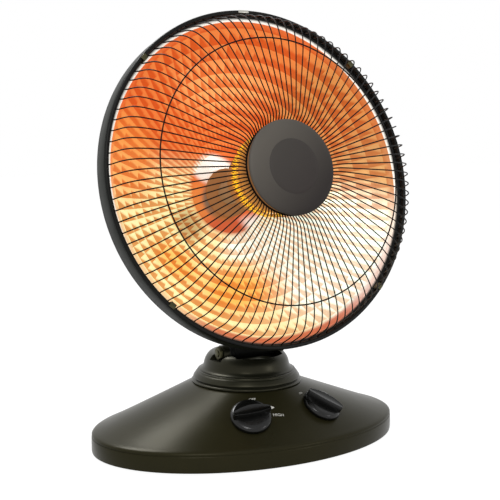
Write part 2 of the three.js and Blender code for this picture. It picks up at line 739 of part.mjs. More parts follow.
// ---------- rim ----------
const lipInner = rimRadius - rimLip;
piece("rim_ring", ring([
  [rimInner, -rimDepth], [rimRadius - 0.4, -rimDepth], [rimRadius, 0.4], [rimRadius - 1.8, 2.4],
  [lipInner, 1.8], [lipInner, 0], [rimInner, 0],
], ROUND), material.housing, head);

// ---------- guard ----------
const guardRingOuter = lipInner + 2;
const guardRingInner = lipInner - 0.6;
const guardRingTop = -GAP;
const guardRingLow = guardRingTop - 2;
const hubRingOuter = 51.7;
const hubRingInner = 49.4;
const hubRingLow = 46.4;
const hubRingTop = 48.6;

// Radial wires between two rings, in one piece. Each wire is a three-sided bar, its ridge to the front, that
// leaves the outer ring, turns forward over the rim, bends in at the shoulder and dips behind the hub cap.
function guardWires() {
  const half = wireSize / 2;
  const path = [
    [lipInner - 2.4, 1.5], [lipInner - 3.7, guardShoulderHeight - 22], [guardShoulder, guardShoulderHeight],
    [guardBend, guardBendHeight],
  ];
  const ends = [[guardRingInner, guardRingTop - 1], [hubRingOuter, hubRingTop - 1]];
  const whole = [ends[0], ...path, ends[1]];
  const stations = path.map(([radius, height], i) => {
    const before = whole[i];
    const after = whole[i + 2];
    const into = new THREE.Vector2(radius - before[0], height - before[1]).normalize();
    const outOf = new THREE.Vector2(after[0] - radius, after[1] - height).normalize();
    const way = into.add(outOf).normalize();
    return {
      back: [radius - way.y * half, height + way.x * half],
      front: [radius + way.y * half, height - way.x * half],
    };
  });
  stations.unshift({ back: [guardRingInner, guardRingLow], front: [guardRingInner, guardRingTop] });
  stations.push({ back: [hubRingOuter, hubRingLow], front: [hubRingOuter, hubRingTop] });

  const positions = [];
  const faces = [];
  const quad = (a, b, c, d) => faces.push(a, b, c, a, c, d);
  // The vertex of a profile point on one flank of a wire: side is -1 or 1.
  const flank = (wire, [radius, height], side) => {
    const angle = ((wire + 0.5) / wireCount) * 2 * Math.PI;
    const x = radius * Math.cos(angle) - side * half * Math.sin(angle);
    const y = radius * Math.sin(angle) + side * half * Math.cos(angle);
    positions.push(x, y, height);
    return positions.length / 3 - 1;
  };
  const outerEdge = [guardRingOuter, guardRingTop - 1];
  const hubEdge = [hubRingInner, hubRingTop - 1.1];
  const wires = Array.from({ length: wireCount }, (_, wire) => ({
    left: stations.map((s) => flank(wire, s.back, -1)),
    right: stations.map((s) => flank(wire, s.back, 1)),
    front: stations.map((s) => flank(wire, s.front, 0)),
    outer: flank(wire, outerEdge, 0),
    hub: flank(wire, hubEdge, 0),
  }));
  const last = stations.length - 1;
  wires.forEach((wire, i) => {
    for (let k = 0; k < last; k++) {
      quad(wire.left[k + 1], wire.right[k + 1], wire.right[k], wire.left[k]);
      quad(wire.front[k + 1], wire.front[k], wire.right[k], wire.right[k + 1]);
      quad(wire.front[k + 1], wire.left[k + 1], wire.left[k], wire.front[k]);
    }
    faces.push(wire.left[0], wire.right[0], wire.outer);
    faces.push(wire.right[last], wire.left[last], wire.hub);
    const next = wires[(i + 1) % wireCount];
    quad(wire.front[0], wire.outer, next.outer, next.front[0]);
    quad(wire.right[0], next.left[0], next.outer, wire.outer);
    quad(wire.right[0], wire.front[0], next.front[0], next.left[0]);
    quad(wire.hub, wire.front[last], next.front[last], next.hub);
    quad(wire.hub, next.hub, next.left[last], wire.right[last]);
    quad(wire.right[last], next.left[last], next.front[last], wire.front[last]);
  });
  const geometry = new THREE.BufferGeometry();
  geometry.setAttribute("position", new THREE.Float32BufferAttribute(positions, 3));
  geometry.setIndex(faces);
  geometry.computeVertexNormals();
  return geometry;
}
piece("guard_wires", guardWires(), material.wire, head);

const supportOuter = supportRingRadius + wireSize / 2;
const supportTop = THREE.MathUtils.mapLinear(
  supportOuter, guardShoulder, guardBend, guardShoulderHeight, guardBendHeight) - wireSize / 2 - GAP - 0.1;
piece("guard_support_ring", sleeve(
  supportRingRadius - wireSize / 2, supportOuter, supportTop - wireSize, supportTop, 36,
), material.wire, head);

// A clip hooks the guard's ring to the rim's lip, between two wires.
function guardClip() {
  const legInner = guardRingInner - GAP - 1.2;
  const hookLow = guardRingLow - GAP - 1.2;
  const side = new THREE.Shape();
  [
    [legInner, hookLow], [guardRingOuter - 0.8, hookLow], [guardRingOuter - 0.8, hookLow + 1.2],
    [legInner + 1.2, hookLow + 1.2], [legInner + 1.2, 2.4 + GAP], [rimRadius - 1.2, 2.4 + GAP],
    [rimRadius - 1.2, 3.6 + GAP], [legInner, 3.6 + GAP],
  ].forEach(([r, z], i) => (i ? side.lineTo(r, z) : side.moveTo(r, z)));
  // The side view is drawn as (radius, height) and raised across the clip.
  return raised(side, -clipWidth / 2, clipWidth / 2).applyMatrix4(new THREE.Matrix4().makeBasis(
    new THREE.Vector3(1, 0, 0), new THREE.Vector3(0, 0, 1), new THREE.Vector3(0, -1, 0)));
}
["upper_right", "upper_left", "lower_left", "lower_right"].forEach((place, i) => {
  piece("guard_clip_" + place, guardClip().rotateZ(((i + 0.5) * Math.PI) / 2), material.steel, head);
});

// ---------- hub cap ----------
const hubPlateTop = hubRingLow - GAP;
const hubPlateLow = hubPlateTop - 1.5;
const capBack = hubRingTop + GAP;
const capPilot = 2;
const hubPlate = sleeve(capPilot + GAP, capRadius - 1.6, hubPlateLow, hubPlateTop, MID);
piece("hub_plate", hubPlate, material.wire, head);
piece("hub_cap", turned([
  [0, capFront - 1.8], [capPilot, capFront - 1.8], [capPilot, hubPlateTop + GAP], [6, hubPlateTop + GAP],
  [6, capFront - 3.3], [capRadius - 4, capFront - 3.3], [capRadius - 3.3, capBack], [capRadius, capBack],
  [capRadius, capFront - 2.6], [capRadius - 3.6, capFront], [capDiscRadius + 0.5, capFront + 1.6],
  [capDiscRadius + 0.3, capFront + 0.1], [0, capFront + 0.1],
]), material.cap, head);
piece("cap_disc", turned([
  [0, capFront + 0.1 + GAP], [capDiscRadius, capFront + 0.1 + GAP], [capDiscRadius, capFront + 1.8],
  [capDiscRadius - 1.2, capFront + 2.7], [0, capFront + 3.2],
]), material.cap, head);
piece("hub_screw", turned([
  [0, hubPlateLow - GAP - 2.2], [4.2, hubPlateLow - GAP - 2.2], [4.2, hubPlateLow - GAP],
  [capPilot - 0.2, hubPlateLow - GAP], [capPilot - 0.2, capFront - 4.5], [0, capFront - 4.5],
], SMALL), material.steel, head);

// ---------- heating element ----------
const coneRadius = (height) =>
  THREE.MathUtils.mapLinear(height, coneRear, coneFront, coneRearRadius, coneFrontRadius);
const boltRadius = 2.5;
const coilGap = 3 * GAP + coilWire / 2;

// A lug on the cone that the end of the winding meets, square to the wire.
function coilLug(height, side) {
  const radius = coneRadius(height);
  const near = side * (coilWire + GAP);
  const far = near + side * 4;
  return block(
    [radius - 2, Math.min(near, far), height - 2.2],
    [radius + coilWire + 2, Math.max(near, far), height + 2.2],
  );
}

function elementCone() {
  const cone = ring([
    [boltRadius + GAP, coneRear], [coneRearRadius, coneRear], [coneFrontRadius, coneFront],
    [coneFrontRadius - coneWall, coneFront], [coneRearRadius - coneWall, coneRear + coneWall],
    [boltRadius + GAP, coneRear + coneWall],
  ], 36);
  return join(cone, coilLug(coilStart, -1), coilLug(coilEnd, 1));
}
piece("element_cone", elementCone(), material.ceramic, head);

const coilCurve = new Winding(coilTurns, coneRadius(coilStart) + coilGap, coneRadius(coilEnd) + coilGap,
  coilStart, coilEnd, coilWire);
piece("heating_coil", woundWire("heating_coil", coilCurve, coilWire, 24, 6), material.coil, head);

const socketBack = reflectorSkin(socketFlange) + GAP;
const socketFront = socketBack + 4;
piece("element_socket", ring([
  [boltRadius + GAP, reflectorVertex - socketDepth], [socketRadius, reflectorVertex - socketDepth],
  [socketRadius, socketBack],
  [socketFlange, socketBack],
  [socketFlange, socketFront], [boltRadius + GAP, socketFront],
], 20), material.ceramic, head);
const elementStem = sleeve(boltRadius + GAP, stemRadius, socketFront + GAP, coneRear - GAP, 16);
piece("element_stem", elementStem, material.steel, head);

// ---------- rear cover, through bolt and nut ----------
const coverRim = housingFace(rearHoleRadius + 7) - 3 * GAP;
const coverBack = housingVertex - 6;
piece("rear_cover", ring([
  [boltRadius + GAP, coverBack], [rearHoleRadius + 3, coverBack + 1.4], [rearHoleRadius + 7, coverRim - 3],
  [rearHoleRadius + 7, coverRim], [rearHoleRadius + 4.5, coverRim], [rearHoleRadius + 1.5, coverBack + 4],
  [boltRadius + GAP, coverBack + 2.4],
], 20), material.housing, head);

const boltHeadBack = coneRear + coneWall + GAP;
piece("element_bolt", turned([
  [0, coverBack - 6], [boltRadius, coverBack - 6], [boltRadius, boltHeadBack], [5, boltHeadBack],
  [5, boltHeadBack + 3], [0, boltHeadBack + 3],
], SMALL), material.steel, head);
piece("element_nut", cut(
  raised(hex(5.4), coverBack - GAP - 4, coverBack - GAP),
  rod(boltRadius + GAP / 2, coverBack - 20, coverBack + 5),
), material.steel, head);

// ---------- overheat cut-out on the back of the reflector ----------
function cutout() {
  const body = turned([[0, GAP], [9, GAP], [9, 2.3], [7, 2.3], [7, 7.3], [0, 7.3]], SMALL);
  return onto(body.translate(0, 0, reflectorWall), backFrame(reflectorSkin, cutoutSpot, 0));
}
piece("overheat_cutout", cutout(), material.brass, head);

export default heater;
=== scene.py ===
# A dish heater on an oval foot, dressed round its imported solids.
# The scene is in metres, +Z up, front towards -Y. Sizes written here are millimetres unless a comment says
# otherwise. The dish has a frame of its own: Z along its axis, forward from the middle of the rim's front
# plane, Y up in that plane.
import json
import math

import bmesh
import bpy
from mathutils import Matrix, Vector
from mathutils.bvhtree import BVHTree


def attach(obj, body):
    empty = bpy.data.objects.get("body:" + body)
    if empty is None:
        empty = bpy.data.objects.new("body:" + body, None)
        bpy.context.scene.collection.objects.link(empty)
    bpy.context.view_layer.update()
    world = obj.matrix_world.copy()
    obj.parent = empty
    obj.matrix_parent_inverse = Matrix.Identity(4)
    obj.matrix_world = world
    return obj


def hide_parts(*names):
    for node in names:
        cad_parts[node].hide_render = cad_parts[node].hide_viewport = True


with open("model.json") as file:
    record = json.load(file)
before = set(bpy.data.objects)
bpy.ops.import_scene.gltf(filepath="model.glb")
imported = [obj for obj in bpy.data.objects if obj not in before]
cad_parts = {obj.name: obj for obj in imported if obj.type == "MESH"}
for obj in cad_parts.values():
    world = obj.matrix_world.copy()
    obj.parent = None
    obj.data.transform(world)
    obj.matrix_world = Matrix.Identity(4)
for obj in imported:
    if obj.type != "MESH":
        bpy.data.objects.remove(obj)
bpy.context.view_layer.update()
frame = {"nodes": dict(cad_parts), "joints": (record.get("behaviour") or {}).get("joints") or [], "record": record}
nodes = frame["nodes"]

MM = 0.001
RIM_MIDDLE = (0, -0.044, 0.3053)  # metres
TILT = math.radians(14)
DISH = Matrix.Translation(RIM_MIDDLE) @ Matrix.Rotation(math.pi / 2 - TILT, 4, "X")

# ---------- sizes shared by the pieces ----------
REFLECTOR_DEPTH = -95
REFLECTOR_FOCAL = 93
REFLECTOR_RADIUS = 181
REFLECTOR_HOLE, REFLECTOR_FLANGE, REFLECTOR_WALL = 24, 187.4, 1
FACET_COLUMNS = 80
FACET_CUTS = 4  # steps of the mesh across each facet
FACET_START, FACET_END, FACET_STEP = 48, 174, 14  # radii of the embossed rows
HOUSING_RADIUS = 184
HOUSING_DEPTH = -112
HOUSING_BOWL = 88  # depth of its curve
HOUSING_WALL = 2.2
VENTS = 6
WIRES = 96
WIRE_RADIUS = 0.72
CONE_REAR, CONE_FRONT = -26, 43.4
CONE_REAR_RADIUS, CONE_SPREAD = 35.3, 12.2
COIL_REAR, COIL_LENGTH = -2, 27
COIL_GAP = 2.9  # from the cone to the middle of the curl
COIL_WIRE = 0.42
BORE = 2.8  # radius of the hole through the pieces on the element's bolt
SLOPE_TOP_RADIUS = 63.4
DEPTH_TO_WIDTH = 0.4959  # of the base's growth from its top to its edge
PIVOT_Y, PIVOT_Z = -8, 105.1  # the tilt bolt's middle
SADDLE_HALF, SADDLE_RADIUS, SADDLE_FLOOR = 30.4, 43, 91.7
EAR_FACE, EAR_RADIUS = 38.0, 9
POCKET_HALF, POCKET_FLOOR, POCKET_END = 9.6, 96.7, 52.0
TILT_BORE = 4.3


def reflector_height(radius):
    return REFLECTOR_DEPTH + radius**2 / (4 * REFLECTOR_FOCAL)


# ---------- camera ----------
VIEW_AZIMUTH, VIEW_ELEVATION = math.radians(-29.71), math.radians(6.74)
VIEW_SHIFT, VIEW_HEIGHT, VIEW_DISTANCE = 0.0042, 0.22014, 1.2406  # metres
VIEW_LENS, VIEW_SENSOR = 77.86, 36


def photo_camera():
    level = math.cos(VIEW_ELEVATION)
    back = Vector((math.sin(VIEW_AZIMUTH) * level, -math.cos(VIEW_AZIMUTH) * level, math.sin(VIEW_ELEVATION)))
    right = Vector((math.cos(VIEW_AZIMUTH), math.sin(VIEW_AZIMUTH), 0))
    lens = bpy.data.cameras.new("photo_camera")
    lens.sensor_width = VIEW_SENSOR
    lens.lens = VIEW_LENS
    camera = bpy.data.objects.new("photo_camera", lens)
    camera.location = right * VIEW_SHIFT + Vector((0, 0, VIEW_HEIGHT)) + back * VIEW_DISTANCE
    camera.rotation_mode = "QUATERNION"
    camera.rotation_quaternion = (-back).to_track_quat("-Z", "Y")
    bpy.context.scene.collection.objects.link(camera)
    bpy.context.scene.camera = camera


photo_camera()


# ---------- materials ----------
def tone(code):
    """A colour written as on a paint card, as the shader's linear values."""
    parts = [int(code[i:i + 2], 16) / 255 for i in (0, 2, 4)]
    return [p / 12.92 if p <= 0.04045 else ((p + 0.055) / 1.055) ** 2.4 for p in parts] + [1]


def add(tree, kind, values=None, **settings):
    """A shader node with its settings, and its inputs set to numbers or linked to sockets."""
    node = tree.nodes.new(kind)
    for name, value in settings.items():
        setattr(node, name, value)
    for name, value in (values or {}).items():
        if isinstance(value, bpy.types.NodeSocket):
            tree.links.new(value, node.inputs[name])
        else:
            node.inputs[name].default_value = value
    return node


def sums(tree, operation, *values):
    """One step of arithmetic on sockets or numbers."""
    return add(tree, "ShaderNodeMath", dict(enumerate(values)), operation=operation).outputs[0]


def mixed(tree, share, a, b, blend="MIX"):
    return add(tree, "ShaderNodeMix", {"Factor": share, "A": a, "B": b}, data_type="RGBA",
               blend_type=blend).outputs["Result"]


def in_dish(tree):
    """The shaded point in the dish's own frame."""
    place = add(tree, "ShaderNodeTexCoord")
    dish = add(tree, "ShaderNodeMapping", {
        "Vector": place.outputs["Object"], "Location": DISH.to_translation(), "Rotation": DISH.to_euler(),
    }, vector_type="TEXTURE")
    return add(tree, "ShaderNodeSeparateXYZ", {"Vector": dish.outputs["Vector"]}).outputs


def finish(name, colour, roughness, metallic=0.0, **sockets):
    material = bpy.data.materials.new(name)
    material.use_nodes = True
    shader = material.node_tree.nodes["Principled BSDF"]
    shader.inputs["Base Color"].default_value = tone(colour)
    shader.inputs["Roughness"].default_value = roughness
    shader.inputs["Metallic"].default_value = metallic
    for socket, value in sockets.items():
        shader.inputs[socket.replace("_", " ")].default_value = value
    return material, shader


def grain(material, shader, size_mm, depth_mm, strength=0.5):
    """Fine relief from noise of the given size."""
    tree = material.node_tree
    place = add(tree, "ShaderNodeTexCoord")
    noise = add(tree, "ShaderNodeTexNoise", {
        "Vector": place.outputs["Object"], "Scale": 1000 / size_mm, "Detail": 3.0, "Roughness": 0.6,
    })
    bump = add(tree, "ShaderNodeBump", {
        "Height": noise.outputs["Fac"], "Strength": strength, "Distance": depth_mm * MM,
    })
    tree.links.new(bump.outputs["Normal"], shader.inputs["Normal"])


def patches(material, shader, low, high, size_mm, rough_low, rough_high):
    """Slow drift of colour and roughness over a surface, as handling and moulding leave it."""
    tree = material.node_tree
    place = add(tree, "ShaderNodeTexCoord")
    drift = add(tree, "ShaderNodeTexNoise", {
        "Vector": place.outputs["Object"], "Scale": 1000 / size_mm, "Detail": 5.0, "Roughness": 0.55,
    }).outputs["Fac"]
    spread = add(tree, "ShaderNodeMapRange", {
        "Value": drift, "From Min": 0.3, "From Max": 0.7, "To Min": rough_low, "To Max": rough_high,
    })
    tree.links.new(mixed(tree, drift, tone(low), tone(high)), shader.inputs["Base Color"])
    tree.links.new(spread.outputs["Result"], shader.inputs["Roughness"])


PLASTIC_DRIFT, METAL_DRIFT = 60, 25  # lengths over which colour drifts
METAL_GRAIN = 0.8


def plastic(name, low, high, rough_low, rough_high, grain_mm=0.5, depth_mm=0.03, **sockets):
    material, shader = finish(name, low, rough_low, **sockets)
    patches(material, shader, low, high, PLASTIC_DRIFT, rough_low, rough_high)
    grain(material, shader, grain_mm, depth_mm)
    return material


def metal(name, low, high, rough_low, rough_high, metallic=1.0, **sockets):
    material, shader = finish(name, low, rough_low, metallic, **sockets)
    patches(material, shader, low, high, METAL_DRIFT, rough_low, rough_high)
    grain(material, shader, METAL_GRAIN, 0.01, 0.4)
    return material


def cap_with_painted_shade(name, light, dark):
    """Cap enamel with painted shade: lighter at its upper left, darker towards its lower right, as the light
    leaves it.
    """
    material = plastic(name, light, dark, 0.5, 0.58, grain_mm=0.6, depth_mm=0.02, Specular_IOR_Level=0.2)
    tree = material.node_tree
    spot = in_dish(tree)
    share = add(tree, "ShaderNodeMapRange", {
        "Value": sums(tree, "SUBTRACT", spot["X"], spot["Y"]), "From Min": -60 * MM, "From Max": 60 * MM,
    }).outputs["Result"]
    colour = mixed(tree, share, tone(light), tone(dark))
    tree.links.new(colour, tree.nodes["Principled BSDF"].inputs["Base Color"])
    return material


REFLECTOR_METAL = 0.35
# The sheet gives off a painted glow; each facet has a painted highlight flank and a painted shade flank.
REFLECTOR_PAINTED_GLOW = 0.46
PAINTED_LIT_SIDE = (0.45, 0.9)  # where the lit flank of every facet lies
FACET_CHANCE = 0.24  # how much the flanks' border strays from facet to facet
FACET_BORDER = 0.14  # half the width of that border
# Multipliers of the painted glow for each facet's painted shade flank and painted highlight flank.
PAINTED_SHADE_FLANK = (0.80, 0.52, 0.26, 1)
PAINTED_HIGHLIGHT_FLANK = (1.12, 1.6, 1.5, 1)


def painted_facet_lean(tree):
    """How far a point of a facet lies towards the facet's painted highlight flank."""
    spot = in_dish(tree)
    x, y = spot["X"], spot["Y"]
    radius = sums(tree, "SQRT", sums(tree, "ADD", sums(tree, "MULTIPLY", x, x), sums(tree, "MULTIPLY", y, y)))
    column = sums(tree, "MULTIPLY", sums(tree, "ARCTAN2", y, x), FACET_COLUMNS / (2 * math.pi))
    row = sums(tree, "DIVIDE", sums(tree, "SUBTRACT", radius, FACET_START * MM), FACET_STEP * MM)
    across = sums(tree, "SUBTRACT", sums(tree, "FRACT", column), 0.5)
    outward = sums(tree, "SUBTRACT", sums(tree, "FRACT", row), 0.5)
    lx, ly = PAINTED_LIT_SIDE
    turned = sums(tree, "DIVIDE", sums(tree, "SUBTRACT", sums(tree, "MULTIPLY", x, ly),
                                       sums(tree, "MULTIPLY", y, lx)), radius)
    along = sums(tree, "DIVIDE", sums(tree, "ADD", sums(tree, "MULTIPLY", x, lx),
                                      sums(tree, "MULTIPLY", y, ly)), radius)
    cell = add(tree, "ShaderNodeCombineXYZ", {
        "X": sums(tree, "FLOOR", column), "Y": sums(tree, "FLOOR", row),
    })
    noise = add(tree, "ShaderNodeTexWhiteNoise", {"Vector": cell.outputs["Vector"]}, noise_dimensions="2D")
    lean = sums(tree, "ADD", sums(tree, "MULTIPLY", across, turned), sums(tree, "MULTIPLY", outward, along))
    return sums(tree, "MULTIPLY_ADD", noise.outputs["Value"], FACET_CHANCE,
                sums(tree, "SUBTRACT", lean, FACET_CHANCE / 2))


def painted_glow_reflector():
    """Polished sheet with the element's light painted on: the mesh's own attribute holds a painted reflection of
    the element, which the sheet also gives off as a painted glow.
    The attribute's alpha says how strongly the painted highlight and painted shade on the two flanks of each
    embossed facet differ."""
    material, shader = finish("embossed_reflector", "f0b070", 0.38, REFLECTOR_METAL,
                              Emission_Strength=REFLECTOR_PAINTED_GLOW, Specular_IOR_Level=0.0)
    tree = material.node_tree
    lit = add(tree, "ShaderNodeMapRange", {
        "Value": painted_facet_lean(tree), "From Min": -FACET_BORDER, "From Max": FACET_BORDER,
    }, interpolation_type="SMOOTHSTEP").outputs["Result"]
    painted_glow = add(tree, "ShaderNodeVertexColor", layer_name="painted_glow").outputs
    painted_shade = mixed(tree, 1.0, painted_glow["Color"], PAINTED_SHADE_FLANK, "MULTIPLY")
    painted_highlight = mixed(tree, 1.0, painted_glow["Color"], PAINTED_HIGHLIGHT_FLANK, "MULTIPLY")
    shown = mixed(tree, painted_glow["Alpha"], painted_glow["Color"], mixed(tree, lit, painted_shade, painted_highlight))
    tree.links.new(shown, shader.inputs["Base Color"])
    tree.links.new(shown, shader.inputs["Emission Color"])
    grain(material, shader, 3, 0.04, 0.25)
    return material


# Colours along the element, from the cone's rear edge at 0 to just past its front edge at 1.
# Emission along the cone: the yellow band glows with heat, the brown glow towards its ends is painted light from
# the wire.
HEAT_AND_PAINTED_GLOW_STOPS = [
    (0.0, "7a5430"), (0.3, "8a5a2c"), (0.325, "3a1004"), (0.385, "6a2406"), (0.405, "ffb818"),
    (0.53, "ffcc1c"), (0.57, "b87a30"), (0.8, "8a5a2a"), (1.0, "6a4420"),
]
BODY_STOPS = [
    (0.0, "6a4c30"), (0.3, "8a5a30"), (0.33, "3a1408"), (0.38, "a07040"), (0.7, "80603a"), (1.0, "5a4028"),
]
WIRE_STOPS = [
    (0.0, "3a0e02"), (0.385, "5a1804"), (0.405, "ffb810"), (0.53, "ffd82a"), (0.57, "b4762e"),
    (0.7, "7c5028"), (1.0, "5a3a1c"),
]
STOPS_END = 44


def heat_along(tree, stops):
    along = add(tree, "ShaderNodeMapRange", {
        "Value": in_dish(tree)["Z"], "From Min": CONE_REAR * MM, "From Max": STOPS_END * MM,
    })
    scale = add(tree, "ShaderNodeValToRGB", {"Fac": along.outputs["Result"]})
    band = scale.color_ramp
    while len(band.elements) < len(stops):
        band.elements.new(0.5)
    for element, (position, code) in zip(band.elements, stops):
        element.position = position
        element.color = tone(code)
    return scale.outputs["Color"]


def element_body():
    """Ceramic that glows with heat in a band under the wire wound round it; the dimmer brown glow along the rest
    of the cone is painted light from the wire.
    """
    material, shader = finish("hot_ceramic", "9a7a58", 0.75, Emission_Strength=1.0, Specular_IOR_Level=0.2)
    tree = material.node_tree
    tree.links.new(heat_along(tree, HEAT_AND_PAINTED_GLOW_STOPS), shader.inputs["Emission Color"])
    tree.links.new(heat_along(tree, BODY_STOPS), shader.inputs["Base Color"])
    grain(material, shader, 1.2, 0.1, 0.6)
    return material


def hot_wire():
    material, shader = finish("hot_wire", "8a5a30", 0.6, Emission_Strength=1.1, Specular_IOR_Level=0.2)
    tree = material.node_tree
    tree.links.new(heat_along(tree, WIRE_STOPS), shader.inputs["Emission Color"])
    return material


OLIVE_TINT = (0.92, 0.86, 0.6, 1)
base_plastic = plastic("olive_plastic", "222113", "2b2817", 0.27, 0.33,
                       Specular_IOR_Level=0.12, Specular_Tint=OLIVE_TINT)
neck_plastic = plastic("neck_plastic", "191a13", "212118", 0.3, 0.38,
                       Specular_IOR_Level=0.28, Specular_Tint=OLIVE_TINT)
bracket_plastic = plastic("bracket_plastic", "0e0e0c", "141412", 0.5, 0.6, Specular_IOR_Level=0.15)
inner_plastic = plastic("inner_plastic", "1c1c1a", "262623", 0.5, 0.62)
knob_plastic = plastic("knob_plastic", "090908", "0e0e0c", 0.2, 0.26, grain_mm=0.8, depth_mm=0.01,
                       Specular_IOR_Level=0.34)
housing_paint = metal("housing_paint", "1f211a", "282a21", 0.36, 0.46, metallic=0.0, Specular_IOR_Level=0.3)
# The band and the lip wear one paint in two tones: the lip's blacker copy is painted shade.
rim_paint = metal("rim_paint", "11140e", "171b13", 0.4, 0.5, metallic=0.0, Specular_IOR_Level=0.1)
lip_paint_painted_shade = metal("lip_paint_painted_shade", "080806", "0c0c09", 0.36, 0.46, metallic=0.0, Specular_IOR_Level=0.15)
guard_paint = metal("guard_paint", "060403", "0a0705", 0.4, 0.55, metallic=0.0, Specular_IOR_Level=0.12)
# Both cap colours fade from a lighter upper left to a darker lower right: painted shade.
cap_paint = cap_with_painted_shade("cap_paint", "66615a", "2a2422")
disc_paint_painted_shade = cap_with_painted_shade("disc_paint_painted_shade", "4c4844", "332c2a")
zinc = metal("zinc_plate", "a8a69e", "c4c2ba", 0.26, 0.4)
dulled_steel = metal("dulled_steel", "3c3a28", "504e3a", 0.36, 0.5)
# Browned steel that also gives off a painted glow, standing for the element's light on the plate behind the cap
# and on the socket.
steel_with_painted_glow = metal("browned_steel_painted_glow", "7a5a3c", "8a6040", 0.6, 0.7, metallic=0.0, Specular_IOR_Level=0.1,
                  Emission_Color=tone("8a5c34"), Emission_Strength=0.7)
# Heat-stained steel of the element's stem, which also gives off a painted glow.
stem_paint_painted_glow = metal("heat_stained_steel_painted_glow", "86705a", "7a5e44", 0.5, 0.6, metallic=0.0, Specular_IOR_Level=0.1,
                   Emission_Color=tone("80684a"), Emission_Strength=0.7)
brass = metal("turned_brass", "b08a3c", "c9a75a", 0.25, 0.38)
rubber = plastic("rubber", "121212", "1b1b1a", 0.75, 0.9, grain_mm=1.0, depth_mm=0.05)
ceramic = plastic("white_ceramic", "cfc4b0", "ddd3c0", 0.6, 0.75, grain_mm=0.7, depth_mm=0.04)
print_paint = plastic("white_print", "f4f2ea", "e8e6de", 0.6, 0.7)
reflector_sheet = painted_glow_reflector()
hot_ceramic = element_body()
resistance_wire = hot_wire()


# ---------- making pieces ----------
def spun(profile, steps, closed=True):
    """A profile of (radius, height) turned about Z. An open profile starts and ends on the axis."""
    bm = bmesh.new()
    points = [bm.verts.new((radius * MM, 0, height * MM)) for radius, height in profile]
    edges = [bm.edges.new(pair) for pair in zip(points, points[1:])]
    if closed:
        edges.append(bm.edges.new((points[-1], points[0])))
    bmesh.ops.spin(bm, geom=points + edges, axis=(0, 0, 1), cent=(0, 0, 0), angle=2 * math.pi, steps=steps,
                   use_merge=True)
    bmesh.ops.remove_doubles(bm, verts=bm.verts, dist=1e-6)
    bmesh.ops.recalc_face_normals(bm, faces=bm.faces)
    return bm


def box(low, high):
    bm = bmesh.new()
    bmesh.ops.create_cube(bm, size=1)
    size = [(b - a) * MM for a, b in zip(low, high)]
    middle = [(a + b) / 2 * MM for a, b in zip(low, high)]
    bmesh.ops.scale(bm, vec=size, verts=bm.verts)
    bmesh.ops.translate(bm, vec=middle, verts=bm.verts)
    return bm


def rod(radius, low, high, sides=48, axis="Z"):
    bm = bmesh.new()
    bmesh.ops.create_cone(bm, cap_ends=True, segments=sides, radius1=radius * MM, radius2=radius * MM,
                          depth=(high - low) * MM)
    bmesh.ops.translate(bm, vec=(0, 0, (low + high) / 2 * MM), verts=bm.verts)
    if axis == "X":
        bmesh.ops.rotate(bm, cent=(0, 0, 0), matrix=Matrix.Rotation(math.pi / 2, 3, "Y"), verts=bm.verts)
    return bm


def moved(bm, x, y, z):
    bmesh.ops.translate(bm, vec=(x * MM, y * MM, z * MM), verts=bm.verts)
    return bm


def turned_about(bm, angle):
    """The form turned about its own Z."""
    bmesh.ops.rotate(bm, cent=(0, 0, 0), matrix=Matrix.Rotation(angle, 3, "Z"), verts=bm.verts)
    return bm


def eased(bm, width_mm, segments=3, limit=30):
    """Rounds every edge sharper than the limit."""
    sharp = [e for e in bm.edges if len(e.link_faces) == 2 and e.calc_face_angle(0) > math.radians(limit)]
    bmesh.ops.bevel(bm, geom=sharp, offset=width_mm * MM, offset_type="OFFSET", segments=segments,
                    profile=0.5, affect="EDGES", material=-1, clamp_overlap=True)
    return bm


def as_mesh(name, bm):
    mesh = bpy.data.meshes.new(name)
    bm.to_mesh(mesh)
    bm.free()
    return mesh


def carved(bm, *tools, operation="DIFFERENCE"):
    """The body with every tool cut from it, joined to it or shared with it."""
    body = bpy.data.objects.new("body_in_work", as_mesh("body_in_work", bm))
    bpy.context.scene.collection.objects.link(body)
    spent = [body]
    for tool in tools:
        cutter = bpy.data.objects.new("tool_in_work", as_mesh("tool_in_work", tool))
        bpy.context.scene.collection.objects.link(cutter)
        spent.append(cutter)
        step = body.modifiers.new("carve", "BOOLEAN")
        step.object = cutter
        step.operation = operation
        step.solver = "EXACT"
    bpy.context.view_layer.update()
    result = bpy.data.meshes.new_from_object(body.evaluated_get(bpy.context.evaluated_depsgraph_get()))
    out = bmesh.new()
    out.from_mesh(result)
    bmesh.ops.remove_doubles(out, verts=out.verts, dist=1e-6)
    for item in spent:
        bpy.data.objects.remove(item)
    bpy.data.meshes.remove(result)
    return out


def piece(name, bm, body, material, place=None, stands_for=(), crease=35):
    """Puts a finished form in its place on a body, smooth but for its creases."""
    if place is not None:
        bm.transform(place)
    for face in bm.faces:
        face.smooth = True
    for edge in bm.edges:
        edge.smooth = len(edge.link_faces) != 2 or edge.calc_face_angle(0) < math.radians(crease)
    item = bpy.data.objects.new(name, as_mesh(name, bm))
    item.data.materials.append(material)
    bpy.context.scene.collection.objects.link(item)
    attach(item, body)
    if stands_for:
        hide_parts(*stands_for)
    return item


def softened(node, width_mm, body, material):
    """The node's own form with its edges eased, standing for it."""
    limit = 40
    bm = bmesh.new()
    bm.from_mesh(nodes[node].data)
    bmesh.ops.remove_doubles(bm, verts=bm.verts, dist=1e-6)
    bmesh.ops.dissolve_limit(bm, angle_limit=math.radians(1), verts=bm.verts, edges=bm.edges)
    eased(bm, width_mm, 2, limit)
    return piece("fine_" + node, bm, body, material, stands_for=[node], crease=limit)


